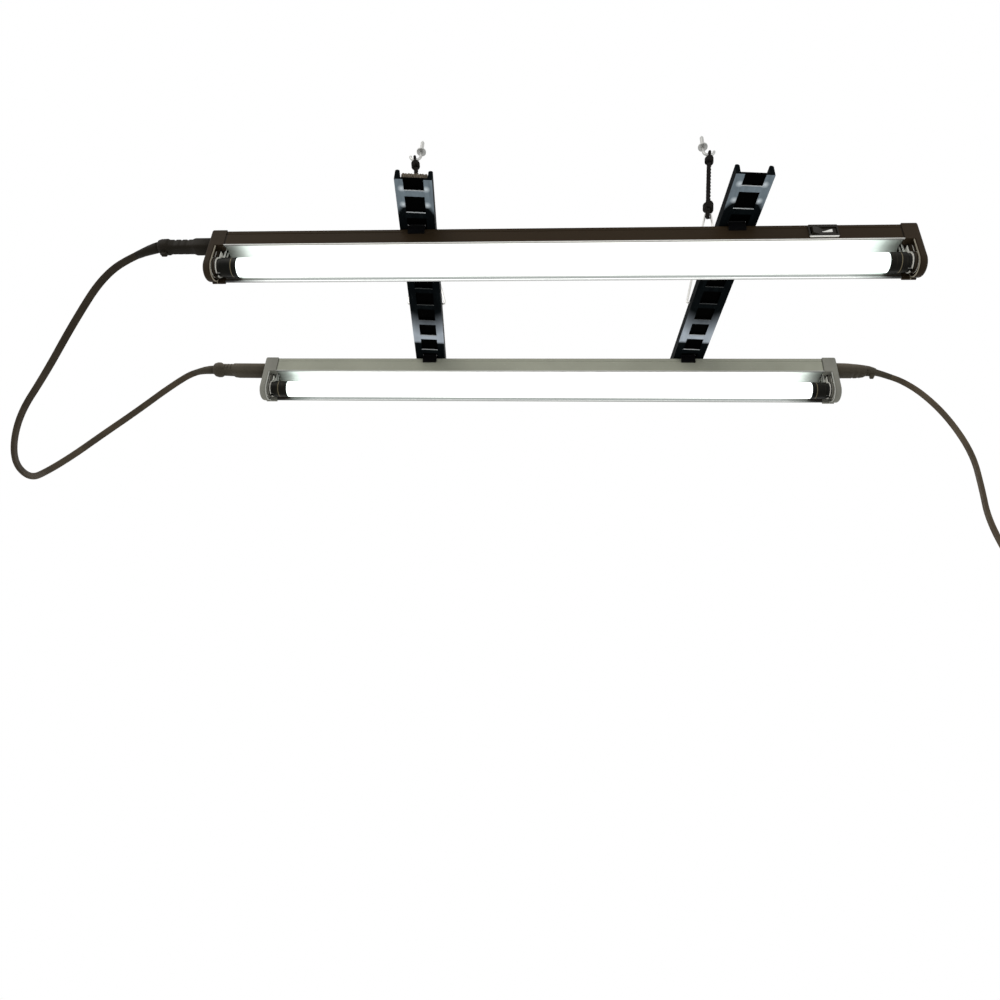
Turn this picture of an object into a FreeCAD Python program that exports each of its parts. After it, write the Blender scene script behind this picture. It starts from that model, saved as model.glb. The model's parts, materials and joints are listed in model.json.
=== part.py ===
"""A pair of slim strip lights clipped side by side under two slotted bars, hung on two cords.

Millimetres, +Z up, +X along the strips to the right, +Y from the near strip to the far one.
The origin is on the ceiling face, midway between the two ceiling hooks.
"""
import FreeCAD, Part
import math
import os

V = FreeCAD.Vector

# Where things hang
hook_spacing = 311.8        # between the bowls of the two ceiling hooks
drop = 244.0                # ceiling face down to the near lip of each strip
balance_back = 3.5          # the hang line lies this far behind the bars' middle, so the lamp hangs level
near_strip_x = -5.9         # middle of the near strip from the middle of the hooks
far_shift = -8.4            # how far the far strip sits along from the near one
strip_pitch = 165.7         # near face to near face

# Strip housing; its length follows from the lamp
strip_width = 19.7
box_height = 16.4           # the ballast box, above the near lip
skirt_drop = 23.2           # the far wall's lip below the near lip
sheet = 0.8                 # shell sheet
edge_chamfer = 1.0
lip_width = 1.6
groove_drop = 4.2           # clip groove below the top
groove_depth = 0.35
groove_width = 0.9
reflector_sheet = 0.5
reflector_gap = 0.15        # between the reflector and the shell that holds it
slack = 0.3                 # play between pieces that go into each other

# End caps
end_length = 13.5
end_proud = 0.3             # the cap stands this far outside the shell all round
end_wall = 1.6
plate_thickness = 5.5       # the lower plate that carries the lamp holder
plate_below = 1.2           # the plate reaches this far below the far lip
plate_middle_below = 17.9   # middle of the plate's round foot, below the near lip
face_round = 2.4            # rounds the cap's outer face
rim_proud = 1.5             # rim on the plate's inner face, round the lamp holder
rim_width = 0.9
rim_in = 0.3
spigot_length = 4.0
spigot_height = 9.0

# Lamp and its holders
lamp_radius = 8.0
lamp_length = 549.0         # sets the length of the whole strip
lamp_below = 16.0           # lamp axis below the near lip
lamp_cap_length = 14.0
glass_radius = 7.7
glass_wall = 0.8
cap_wall = 0.2
pin_radius = 1.15
pin_length = 5.0
pin_spacing = 4.75
holder_radius = 8.3
holder_step_radius = 7.2
holder_step = 2.4
holder_length = 7.1         # from its face to the end plate
holder_gap = 0.4            # between the lamp's end and the holder
holder_neck = 9.0           # width of the post from the holder up to the box
rotor_radius = 5.4
rotor_length = 5.0
slot_width = 3.2
screw_radius = 1.3
screw_head_radius = 2.6
screw_head = 1.6
screw_length = 7.4

# Sockets in the end caps and the plugs that go in
socket_width = 9.8
socket_height = 8.2
socket_above = 8.4          # socket axis above the near lip
recess_width = 7.0
recess_height = 6.0
recess_depth = 9.6
contact_radius = 0.6
contact_length = 4.6
contact_spacing = 2.0
plug_width = 13.0
plug_height = 12.4
plug_round = 4.0
waist_width = 11.2
waist_height = 10.6
waist_round = 3.4
near_plug_length = 48.0
near_head_length = 16.0
near_collar_radius = 6.7
far_plug_length = 57.0
far_head_length = 34.0
far_collar_radius = 7.2
mains_connector_length = 30.0
mains_head_length = 14.0
mains_collar_radius = 5.2
collar_length = 10.0
fin_drop = 3.8
fin_width = 3.0
rib_width = 1.8
rib_pitch = 3.6
rib_proud = 0.5

# Ballast and wiring inside the box
board_length = 220.0
board_width = 13.6
board_thickness = 1.2
insulation = 0.6
coil_length = 18.0
coil_width = 8.0
coil_height = 7.4
coil_aside = 0.75           # coils and capacitors stand this far over to the far wall, clear of the wires
capacitor_radius = 3.4
capacitor_length = 14.0
wire_radius = 0.75
wire_spacing = 2.0
wire_in = 5.9               # the through wires lie this far behind the near face
lamp_wire_bend = 3.0
lamp_wire_in = 1.5          # the leads go down this far inside the end cap

# Rocker switch on the near strip
switch_from_end = 74.8      # middle of the switch from the strip's right end
bezel_width = 23.0
bezel_height = 13.0
bezel_thickness = 1.2
switch_depth = 7.4
switch_body_width = 21.8
switch_body_height = 8.8
switch_wall = 0.5
rocker_width = 18.6
rocker_height = 7.2
rocker_axis_in = 3.0        # the rocker's axis behind the near face
rocker_tilt = 7.0           # degrees either side of the middle
rocker_proud = 1.5
rocker_dip = 1.4
rocker_back = 2.4
rocker_hub = 1.5

# Slotted hanger bars
bar_spacing = 259.6
bars_mid_x = 10.8           # middle of the two bars from the near strip's middle
bar_skew = 3.85             # degrees that the bars lie askew on the strips
bar_length = 280.0
bar_width = 29.5
bar_height = 11.0
bar_web = 2.6
bar_flange = 3.6
bar_above_strip = 0.4       # bar underside above the strip's top
slot_pitch = 21.2
slot_length = 15.5
slot_across = 16.0
end_bridge = 1.8
slot_skin = 0.6             # thin back left in each slot, pushed through only where a clip needs it
flange_hole_above = 7.4     # bail holes above the bar's underside
flange_hole_radius = 1.4
slots_each_side = 6

# Clips that hold the strips to the bars
clip_width = 13.8
clip_leg = 1.5
clip_top = 1.8
clip_nib = 0.25
clip_hook_below = 1.8       # how far the jaw reaches below the groove

# Wire bails
bail_wire = 2.2
bail_height = 116.8
bail_half_width = 17.5
bail_apex_half = 2.7
bail_foot = 6.8
bail_corner = 0.28          # share of a straight run that its bends take

# Suspension cords and their knots
rope = 3.8
knot_radius = 5.3
knot_length = 12.0
knot_bite = 0.9            # how far the knot runs over its loop
loop_seat = 0.3            # slack of a loop on the wire it hangs on
knot_ring_radius = 3.9
knot_ring_wire = 1.5
tail_length = 19.0
upper_knot_radius = 4.6
upper_knot_length = 10.0

# Ceiling hooks
hook_wire = 3.0
hook_bowl = 5.5
hook_neck = 7.0
collar_radius = 5.0
collar_thickness = 1.5
thread_radius = 2.0
thread_length = 18.0
thread_tip = 4.0

# Link cord and mains cord
flex = 6.3                  # width of the flat flex
coil_turn_gap = 0.5
coil_outer = 45.0           # middle of the flex in the outer turn
coil_loops_each_way = 5     # half turns of each layer
coil_tail = 56.0            # hangs from the coil to the mains plug
tie_thickness = 1.2
tie_width = 6.0
tie_gap = 0.4
mains_plug_length = 42.0
mains_plug_width = 26.0
mains_plug_depth = 18.0
mains_plug_neck = 14.0
mains_plug_neck_radius = 4.0
mains_pin_radius = 2.0
mains_pin_length = 19.0
mains_pin_spacing = 18.6

# Route of the link cord: from the back of the near plug, then to the back of the far one
link_route = [(0, 0, 0), (-21.4, 0, 0), (-54.7, 18.8, -11.3), (-85.5, 42.2, -48.8), (-109, 63, -87.6),
              (-132.1, 78.9, -121), (-145.7, 105.2, -148.6), (-148, 137.4, -150.4), (-150, 160.2, -128.9),
              (-141.1, 173.5, -101.2), (-125.6, 180, -74.4)]
link_route_end = [(-80.1, 15.6, -41.1), (-46.8, 10.5, -10.7), (-17.7, 0, 0), (0, 0, 0)]

# Route of the mains cord from the back of its connector down to the coil
mains_route = [(0, 0, 0), (15.9, 0, 0), (32, 0, -7.4), (50.6, 0, -31), (67.1, 0, -59.4), (79.8, 0, -98.4),
               (78.2, 0, -132.8), (74.6, 0, -164), (83, 0, -204), (86.5, -10.2, -221.6),
               (87.6, -27.9, -231.8), (87.6, -48.3, -231.8)]

# Worked out from the sizes above
lip_z = -drop
top_z = lip_z + box_height
strips_mid = (strip_pitch + strip_width) / 2
near_y = -strips_mid - balance_back
plate_x = lamp_length / 2 + holder_gap + holder_length
half = plate_x + plate_thickness
plate_round = strip_width / 2 + end_proud
end_x = half - end_length
switch_x = half - switch_from_end
bar_z = top_z + bar_above_strip
pivot_z = bar_z + flange_hole_above
axis_in = strip_width / 2
overrun = strip_width       # cuts run past the piece by this much
STRIPS = {"near": (near_strip_x, near_y), "far": (near_strip_x + far_shift, near_y + strip_pitch)}
SIDES = {"left": -1, "right": 1}


def save(name, *solids):
    """One file for each node. Separate solids of a node stay separate."""
    shape = solids[0] if len(solids) == 1 else Part.makeCompound(list(solids))
    for solid in shape.Solids:
        if not solid.isValid() or solid.Volume <= 0:
            print("bad solid in", name)
    shape.exportStep(f"parts/{name}.step")


def block(x0, x1, y0, y1, z0, z1):
    return Part.makeBox(x1 - x0, y1 - y0, z1 - z0, V(x0, y0, z0))


def prism_x(outline, x0, x1):
    """A solid along X from an outline of (y, z) points."""
    points = [V(x0, y, z) for y, z in outline]
    return Part.Face(Part.makePolygon(points + points[:1])).extrude(V(x1 - x0, 0, 0))


def rod(radius, length, start, direction):
    return Part.makeCylinder(radius, length, start, direction)


def rod_x(radius, x0, x1, y, z):
    return rod(radius, abs(x1 - x0), V(x0, y, z), V(math.copysign(1, x1 - x0), 0, 0))


def rounded(shape, radius, chosen):
    """The shape with its chosen edges rounded."""
    return shape.makeFillet(radius, [e for e in shape.Edges if chosen(e)])


def is_along_x(edge):
    ends = edge.Vertexes
    return abs(ends[0].Y - ends[-1].Y) < slack and abs(ends[0].Z - ends[-1].Z) < slack and edge.Length > slack


def mirrored(shape, sign):
    """Pieces are made for the right end and mirrored for the left one."""
    return shape if sign > 0 else shape.mirror(V(0, 0, 0), V(1, 0, 0))


def at_strip(shape, strip):
    """Moves a shape made round the strip's middle, near face and near lip into place."""
    x, y = STRIPS[strip]
    return shape.translated(V(x, y, lip_z))


def at_end(shape, strip, sign):
    return at_strip(mirrored(shape, sign), strip)


def tangent_path(points, corner=0.45):
    """Straight runs joined by tangent arcs, each as large as its two runs allow."""
    points = [V(*p) for p in points]
    edges, start, radii = [], points[0], []
    for before, here, after in zip(points, points[1:], points[2:]):
        a, b = here - before, after - here
        turn = a.getAngle(b)
        reach = corner * min(a.Length, b.Length)
        radii.append(reach / math.tan(turn / 2))
        into, out = here - a.normalize() * reach, here + b.normalize() * reach
        middle = (into + out) / 2
        towards = here - middle
        sagitta = radii[-1] * (1 - math.cos(turn / 2))
        edges += [Part.LineSegment(start, into).toShape(),
                  Part.Arc(into, middle + towards.normalize() * sagitta, out).toShape()]
        start = out
    edges.append(Part.LineSegment(start, points[-1]).toShape())
    return Part.Wire(edges), radii


def swept(path, radius, start, direction):
    ring = Part.Wire(Part.makeCircle(radius, V(*start), V(*direction)))
    return path.makePipeShell([ring], True, False)


def tube(points, diameter, name):
    """A round tube along a route, with its radii and volume printed."""
    path, radii = tangent_path(points)
    start, following = V(*points[0]), V(*points[1])
    solid = swept(path, diameter / 2, start, following - start)
    section = math.pi * diameter ** 2 / 4
    tightest = min(radii, default=0)
    print(name, "length", round(path.Length, 1), "tightest radius", round(tightest, 1),
          "volume share", round(solid.Volume / (section * path.Length), 4))
    return solid


def shell_outline():
    """The shell bent from one sheet: near wall, top and a far wall that runs down beside the lamp."""
    top, w = box_height, strip_width
    groove = top - groove_drop
    near = [(0, 0), (0, groove - groove_width / 2), (groove_depth, groove), (0, groove + groove_width / 2)]
    crown = [(0, top - edge_chamfer), (edge_chamfer, top), (w - edge_chamfer, top), (w, top - edge_chamfer)]
    far = [(w, groove + groove_width / 2), (w - groove_depth, groove), (w, groove - groove_width / 2),
           (w, -skirt_drop), (w - lip_width, -skirt_drop), (w - lip_width, sheet - skirt_drop)]
    inside = [(w - sheet, sheet - skirt_drop), (w - sheet, top - sheet), (sheet, top - sheet), (sheet, sheet),
              (lip_width, sheet), (lip_width, 0)]
    return near + crown + far + inside


def shell(strip):
    body = prism_x(shell_outline(), -end_x, end_x)
    if strip == "near":
        wide, high = switch_body_width / 2 + slack, switch_body_height / 2 + slack
        body = body.cut(block(switch_x - wide, switch_x + wide, -overrun, sheet + slack,
                              socket_above - high, socket_above + high))
    return body


def reflector():
    """White sheet that lies on the near lip, rises under the box and comes down beside the lamp."""
    t = reflector_sheet
    low = sheet + reflector_gap
    knee, back = strip_width * 0.48, strip_width - sheet - reflector_gap - t
    crest, turn = low + strip_width * 0.11, -strip_width * 0.26
    foot = sheet + reflector_gap - skirt_drop
    bulge_y, bulge_z = strip_width * 0.83, strip_width * 0.05
    p = [V(-end_x, sheet + reflector_gap, low), V(-end_x, knee, crest), V(-end_x, bulge_y, bulge_z),
         V(-end_x, back, turn), V(-end_x, back, foot)]
    aslant = t * math.sqrt(0.5)
    q = [V(-end_x, back + t, foot), V(-end_x, back + t, turn), V(-end_x, bulge_y + aslant, bulge_z + aslant),
         V(-end_x, knee, crest + t), V(-end_x, sheet + reflector_gap, low + t)]
    edges = [Part.LineSegment(p[0], p[1]), Part.Arc(p[1], p[2], p[3]), Part.LineSegment(p[3], p[4]),
             Part.LineSegment(p[4], q[0]), Part.LineSegment(q[0], q[1]), Part.Arc(q[1], q[2], q[3]),
             Part.LineSegment(q[3], q[4]), Part.LineSegment(q[4], p[0])]
    face = Part.Face(Part.Wire([e.toShape() for e in edges]))
    return face.extrude(V(2 * end_x, 0, 0))


def end_cap():
    """Moulded cap: a hollow box on the shell's end, a round-footed plate below it and a far wall."""
    y0, y1 = -end_proud, strip_width + end_proud
    top, low, middle = box_height + end_proud, -skirt_drop - plate_below, -plate_middle_below
    upper = block(end_x, half, y0, y1, -end_proud, top)
    foot = rod_x(plate_round, plate_x, half, axis_in, middle)
    cap = upper.fuse([block(plate_x, half, y0, y1, middle, top), foot]).removeSplitter()
    cap = rounded(cap, face_round, lambda e: min(v.X for v in e.Vertexes) > half - slack)
    wall = end_wall
    cap = cap.fuse([block(end_x, half - face_round, y1 - wall, y1, low, -end_proud), rim(middle)])
    cap = cap.cut(block(end_x - overrun, plate_x, y0 + wall, y1 - wall, wall - end_proud, top - wall))
    cap = cap.cut(block(plate_x - overrun, half + overrun, axis_in - socket_width / 2,
                        axis_in + socket_width / 2, socket_above - socket_height / 2,
                        socket_above + socket_height / 2))
    y0, y1 = sheet + slack, strip_width - sheet - slack
    z1 = box_height - sheet - slack
    spigot = block(end_x - spigot_length, end_x + wall, y0, y1, z1 - spigot_height, z1)
    spigot = spigot.cut(block(end_x - overrun, half, y0 + wall / 2, y1 - wall / 2, -overrun, z1 - wall / 2))
    bridge = block(end_x, end_x + wall, -end_proud, strip_width + end_proud, z1 - spigot_height, top)
    bridge = bridge.cut(block(end_x - overrun, half, y0 + wall / 2, y1 - wall / 2, -overrun, z1 - wall / 2))
    cap = cap.fuse([spigot, bridge])
    wires = block(end_x - overrun, end_x + lamp_wire_in + 2 * wire_radius, axis_in - board_width / 4,
                  axis_in + board_width / 3, -overrun, wall)
    cap = cap.cut(wires)
    hole = rod_x(screw_radius + slack / 2, half - overrun, half + overrun, axis_in, -lamp_below)
    sink = rod_x(screw_head_radius + slack / 2, half - screw_head, half + overrun, axis_in, -lamp_below)
    return cap.cut(hole).cut(sink).removeSplitter()


def rim(middle):
    """Rim down the near side of the plate's inner face and round its foot."""
    x0, x1 = plate_x - rim_proud, plate_x + slack
    outer = plate_round - rim_in
    inner = outer - rim_width
    ring = rod_x(outer, x0, x1, axis_in, middle)
    ring = ring.cut(rod_x(inner, x0 - overrun, x1 + overrun, axis_in, middle))
    above = block(x0 - overrun, x1 + overrun, axis_in - outer, axis_in + outer, middle, middle + outer)
    ring = ring.cut(above)
    return ring.fuse(block(x0, x1, axis_in - outer, axis_in - inner, middle, 0))


def holder():
    """Lamp holder on the end plate: a drum with a post above it, and the pocket that its rotor turns in."""
    face = lamp_length / 2 + holder_gap
    y, z = axis_in, -lamp_below
    body = rod_x(holder_radius, face + holder_step, plate_x, y, z)
    aside, under_box = holder_neck / 2, -end_proud - slack / 2
    post = block(face + holder_step, plate_x, y - aside, y + aside, z, under_box)
    body = body.fuse([rod_x(holder_step_radius, face, face + holder_step, y, z), post])
    body = body.cut(rod_x(rotor_radius + slack, face - slack, face + rotor_length + slack, y, z))
    body = body.cut(block(face - slack, face + rotor_length + slack, y - slot_width / 2, y + slot_width / 2,
                          z - overrun, z))
    return body.cut(rod_x(screw_radius, face, plate_x + slack, y, z))


def rotor():
    """Turning part of the holder that takes the lamp's two pins."""
    face, play = lamp_length / 2 + holder_gap, slack / 2
    body = rod_x(rotor_radius, face + play, face + rotor_length, axis_in, -lamp_below)
    for side in (-1, 1):
        body = body.cut(rod_x(pin_radius + play, face - overrun, lamp_length / 2 + pin_length + play,
                              axis_in + side * pin_spacing / 2, -lamp_below))
    return body


def lamp_cap():
    """Metal cap over the end of the glass, with its two pins."""
    y, z, end = axis_in, -lamp_below, lamp_length / 2
    cup = rod_x(lamp_radius, end - lamp_cap_length, end, y, z)
    cup = cup.cut(rod_x(lamp_radius - cap_wall, end - lamp_cap_length - overrun, end - glass_wall, y, z))
    outer = end - slack
    cup = rounded(cup, cap_wall * 2, lambda e: e.CenterOfMass.x > outer and e.Length > lamp_radius * 6)
    aside = pin_spacing / 2
    return [cup] + [rod_x(pin_radius, end, end + pin_length, y + u, z) for u in (-aside, aside)]


def glass():
    """Closed glass tube between the two lamp caps."""
    end, y, z = lamp_length / 2 - glass_wall, axis_in, -lamp_below
    hollow = rod_x(glass_radius - glass_wall, glass_wall - end, end - glass_wall, y, z)
    return rod_x(glass_radius, -end, end, y, z).cut(hollow)


def holder_screw():
    """Screw through the end plate into the lamp holder."""
    y, z = axis_in, -lamp_below
    head = rod_x(screw_head_radius, half - screw_head, half - slack, y, z)
    return head.fuse(rod_x(screw_radius - slack / 3, half - screw_length, half - screw_head, y, z))


def socket():
    """Insert in the end cap: a recess with three contact pins."""
    y, z = axis_in, socket_above
    rear = half - recess_depth - end_wall
    body = block(rear, half - slack, y - socket_width / 2 + slack / 2, y + socket_width / 2 - slack / 2,
                 z - socket_height / 2 + slack / 2, z + socket_height / 2 - slack / 2)
    body = body.cut(block(half - recess_depth, half + overrun, y - recess_width / 2, y + recess_width / 2,
                          z - recess_height / 2, z + recess_height / 2))
    pins = [rod_x(contact_radius, half - recess_depth, half - recess_depth + contact_length,
                  y + k * contact_spacing, z) for k in (-1, 0, 1)]
    return [body] + pins


def plug(length, head_length, collar_radius, ribs=0, fin=True):
    """Moulded plug for a right end: nose in the socket, head, waist and a collar round the cord."""
    y, z, back = axis_in, socket_above, half + length
    inner, outer = half + head_length / 2, back - collar_length / 2
    head = centred_bar(half + slack, half + head_length, plug_width, plug_height, plug_round)
    waist = centred_bar(inner, outer, waist_width, waist_height, waist_round)
    body = head.fuse([waist, rod_x(collar_radius, back - collar_length, back, y, z)])
    if fin:
        body = body.fuse(block(back - collar_length, back - collar_length / 3, y - fin_width / 2,
                               y + fin_width / 2, z - collar_radius - fin_drop, z))
    for k in range(ribs):
        middle = back - collar_length - (k + 1) * rib_pitch
        body = body.fuse(rod_x(waist_width / 2 + rib_proud, middle, middle + rib_width, y, z))
    tip = block(half - recess_depth + slack, half + plug_round, y - recess_width / 2 + slack,
                y + recess_width / 2 - slack, z - recess_height / 2 + slack, z + recess_height / 2 - slack)
    body = body.fuse(tip)
    bore, bottom = contact_radius + slack / 2, half - recess_depth
    for k in (-1, 0, 1):
        body = body.cut(rod_x(bore, bottom, bottom + contact_length + slack, y + k * contact_spacing, z))
    return body.removeSplitter()


def centred_bar(x0, x1, width, height, corner):
    """A bar on the socket's axis, with its long edges rounded."""
    y, z, aside, above = axis_in, socket_above, width / 2, height / 2
    return rounded(block(x0, x1, y - aside, y + aside, z - above, z + above), corner, is_along_x)


def ballast():
    """Insulating sheet, board, wound coils and capacitors hung under the shell's top."""
    top = box_height - sheet
    y1 = strip_width - sheet - slack
    y0 = y1 - board_width
    under = top - insulation - board_thickness
    pieces = [block(-board_length / 2, board_length / 2, y0, y1, top - insulation, top),
              block(-board_length / 2, board_length / 2, y0, y1, under, top - insulation)]
    middle = (y0 + y1) / 2 + coil_aside
    for share in (-0.36, -0.05, 0.3):
        x = share * board_length
        pieces.append(block(x, x + coil_length, middle - coil_width / 2, middle + coil_width / 2,
                            under - coil_height, under))
    for share in (-0.2, 0.12, 0.44):
        x = share * board_length
        pieces.append(rod_x(capacitor_radius, x, x + capacitor_length, middle, under - capacitor_radius))
    return pieces


def wires(strip):
    """Three wires from socket to socket, past the switch on the near strip, and two leads to each holder."""
    rear = half - recess_depth - end_wall
    gap = switch_body_width / 2
    spans = [(-rear, rear)]
    if strip == "near":
        spans = [(-rear, switch_x - gap), (switch_x + gap, rear)]
    out = []
    for k in (-1, 0, 1):
        out += [rod_x(wire_radius, a, b, wire_in, socket_above + k * wire_spacing) for a, b in spans]
    level = box_height - sheet - insulation - board_thickness - coil_height - wire_radius
    down = end_x + lamp_wire_in
    start = board_length / 2 - coil_length / 2
    for sign in (-1, 1):
        for k in (-1, 1):
            aside = (k + 1 / 2) * wire_spacing
            y, edge = axis_in + aside, abs(aside) - wire_radius
            low = math.sqrt(holder_step_radius ** 2 - edge ** 2) - lamp_below + slack / 3
            path, radii = tangent_path([(start, y, level), (down, y, level), (down, y, low)],
                                       corner=lamp_wire_bend / (level - low))
            lead = swept(path, wire_radius, (start, y, level), (1, 0, 0))
            out.append(mirrored(lead, sign))
    return out


def switch_body():
    """Bezel on the near face and the housing behind it that the rocker turns in."""
    x, z = switch_x, socket_above
    wide, high = switch_body_width / 2, switch_body_height / 2
    body = block(x - wide, x + wide, 0, switch_depth, z - high, z + high)
    bezel = block(x - bezel_width / 2, x + bezel_width / 2, -bezel_thickness, 0,
                  z - bezel_height / 2, z + bezel_height / 2)
    bezel = rounded(bezel, bezel_thickness, lambda e: abs(e.Vertexes[0].Y - e.Vertexes[-1].Y) > slack)
    wide, high = wide - switch_wall, rocker_height / 2 + slack
    hollow = block(x - wide, x + wide, -overrun, switch_depth - switch_wall, z - high, z + high)
    return body.fuse(bezel).cut(hollow)


def rocker():
    """Paddle with a dipped face, pressed in on its right at rest."""
    w, z = rocker_width / 2, socket_above
    outline = [(-w, -rocker_proud), (0, rocker_dip - rocker_proud), (w, -rocker_proud), (w, rocker_back / 2),
               (rocker_hub, rocker_axis_in), (-rocker_hub, rocker_axis_in),
               (-w, rocker_back / 2)]
    points = [V(switch_x + x, y, z - rocker_height / 2) for x, y in outline]
    paddle = Part.Face(Part.makePolygon(points + points[:1])).extrude(V(0, 0, rocker_height))
    paddle = paddle.fuse(rod(rocker_hub, rocker_height, V(switch_x, rocker_axis_in, z - rocker_height / 2),
                             V(0, 0, 1)))
    return paddle.rotated(V(switch_x, rocker_axis_in, z), V(0, 0, 1), rocker_tilt)


def bar_mid_x(sign):
    return near_strip_x + bars_mid_x + sign * bar_spacing / 2


def bar(sign):
    """Channel with its flanges up, thin-backed slots in its web and a hole in each flange for the bail."""
    h, w = bar_length / 2, bar_width / 2
    web = block(-w, w, -h, h, 0, bar_web)
    solid = web
    for side in (-1, 1):
        inner, outer = side * (w - bar_flange), side * w
        flange = block(min(inner, outer), max(inner, outer), -h, h, 0, bar_height)
        flange = rounded(flange, bar_flange * 0.45, lambda e: abs(e.CenterOfMass.z - bar_height) < slack
                         and e.Length > bar_length / 2)
        solid = solid.fuse(flange)
    for side in (-1, 1):
        for k in range(slots_each_side + 1):
            middle = (k + 0.5) * slot_pitch
            y0, y1 = middle - slot_length / 2, min(middle + slot_length / 2, h - end_bridge)
            y0, y1 = sorted((side * y0, side * y1))
            solid = solid.cut(block(-slot_across / 2, slot_across / 2, y0, y1, -overrun, bar_web - slot_skin))
    solid = solid.removeSplitter()
    solid.rotate(V(0, 0, 0), V(0, 0, 1), bar_skew)
    x, middle_y = bar_mid_x(sign), -balance_back
    solid.translate(V(x, middle_y, bar_z))
    for strip in STRIPS:
        x0, x1, spans = clip_legs(sign, strip)
        for y0, y1 in spans:
            solid = solid.cut(block(x0 - slack, x1 + slack, y0 - slack, y1 + slack, bar_z - overrun,
                                    bar_z + bar_web + slack))
    return solid.cut(rod_x(flange_hole_radius, x - bar_width, x + bar_width, 0, pivot_z))


def clip_legs(sign, strip):
    """Where a clip's two legs go: along X, and the two spans along Y outside the strip's faces."""
    near = STRIPS[strip][1]
    far = near + strip_width
    x = bar_mid_x(sign) - math.tan(math.radians(bar_skew)) * ((near + far) / 2 + balance_back)
    return x - clip_width / 2, x + clip_width / 2, [(near - clip_leg, near), (far, far + clip_leg)]


def clip(sign, strip):
    """Saddle in the channel whose two legs go down through slots and grip the strip's grooves."""
    x0, x1, spans = clip_legs(sign, strip)
    groove, half_nib = top_z - groove_drop, groove_width / 2
    top = bar_z + bar_web
    saddle = block(x0, x1, spans[0][0], spans[1][1], top, top + clip_top)
    for y0, y1 in spans:
        saddle = saddle.fuse(block(x0, x1, y0, y1, groove - clip_hook_below, top + clip_top))
    for face, into in ((spans[0][1], clip_nib), (spans[1][0], -clip_nib)):
        nib = [(face, groove - half_nib), (face + into, groove), (face, groove + half_nib)]
        saddle = saddle.fuse(prism_x(nib, x0, x1))
    return saddle.removeSplitter()


def lean(sign):
    """How far the suspension leans outward for each unit up, from the bar to its hook."""
    bowl = -collar_thickness - hook_neck - hook_bowl
    return (sign * hook_spacing / 2 - bar_mid_x(sign)) / (bowl - pivot_z)


def up_the_line(sign, height):
    """The point of the suspension line that is this high above the bail's feet."""
    return V(bar_mid_x(sign) + lean(sign) * height, 0, pivot_z + height)


def bail(sign):
    """Wire hoop whose two feet turn in the bar's flange holes."""
    outline = [(-bail_half_width + bail_foot, 0), (-bail_half_width, 0), (-bail_apex_half, bail_height),
               (bail_apex_half, bail_height), (bail_half_width, 0), (bail_half_width - bail_foot, 0)]
    x = bar_mid_x(sign)
    points = [(x + u + lean(sign) * w, 0, pivot_z + w) for u, w in outline]
    path, radii = tangent_path(points, corner=bail_corner)
    return swept(path, bail_wire / 2, points[0], (-1, 0, 0))


def along_line(shape, sign):
    """Leans a shape made upright at the origin to the suspension line."""
    tilt = math.degrees(math.atan(lean(sign)))
    return shape.rotated(V(0, 0, 0), V(0, 1, 0), tilt)


def barrel(radius, length, core):
    """Turned body of a knot: thin at its ends and full in its middle."""
    edge = V(core, 0, 0)
    far_edge = V(core, 0, length)
    outline = [Part.LineSegment(V(0, 0, 0), edge), Part.Arc(edge, V(radius, 0, length / 2), far_edge),
               Part.LineSegment(far_edge, V(0, 0, length)), Part.LineSegment(V(0, 0, length), V(0, 0, 0))]
    face = Part.Face(Part.Wire([e.toShape() for e in outline]))
    return face.revolve(V(0, 0, 0), V(0, 0, 1), 360)


def lower_knot(sign):
    """Loop round the bail's apex, the knot above it and the cord's loose tail."""
    ring = Part.makeTorus(knot_ring_radius, knot_ring_wire, V(0, 0, 0), V(1, 0, 0))
    body = barrel(knot_radius, knot_length, rope / 2).translated(V(0, 0, knot_ring_radius - knot_bite))
    tail_top = V(-knot_radius + rope / 4, -knot_ring_radius, knot_ring_radius + knot_length / 3)
    tail = rod(rope / 2, tail_length, tail_top, V(0, 0, -1))
    knot = along_line(ring.fuse([body, tail]), sign)
    return knot.translated(up_the_line(sign, lower_loop_height()))


def loop_offset(wire):
    """From the middle of a loop to the middle of the wire that it hangs on or carries."""
    return knot_ring_radius - knot_ring_wire - wire / 2 - loop_seat


def lower_loop_height():
    return bail_height + loop_offset(bail_wire)


def upper_loop_height():
    return -collar_thickness - hook_neck - hook_bowl - loop_offset(hook_wire) - pivot_z


def upper_knot(sign):
    """Loop in the hook's bowl with its knot below."""
    ring = Part.makeTorus(knot_ring_radius, knot_ring_wire, V(0, 0, 0), V(1, 0, 0))
    body = barrel(upper_knot_radius, upper_knot_length, rope / 2)
    body = body.translated(V(0, 0, knot_bite - knot_ring_radius - upper_knot_length))
    return along_line(ring.fuse(body), sign).translated(up_the_line(sign, upper_loop_height()))


def suspension_cord(sign):
    """Taut cord from the lower knot up to the upper one."""
    slope = math.sqrt(1 + lean(sign) ** 2)
    start = up_the_line(sign, lower_loop_height() + (knot_ring_radius - knot_bite + knot_length) / slope)
    end = up_the_line(sign, upper_loop_height() - (knot_ring_radius - knot_bite + upper_knot_length) / slope)
    print("suspension cord", "left" if sign < 0 else "right", "length", round((end - start).Length, 1))
    return rod(rope / 2, (end - start).Length, start, end - start)


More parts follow.
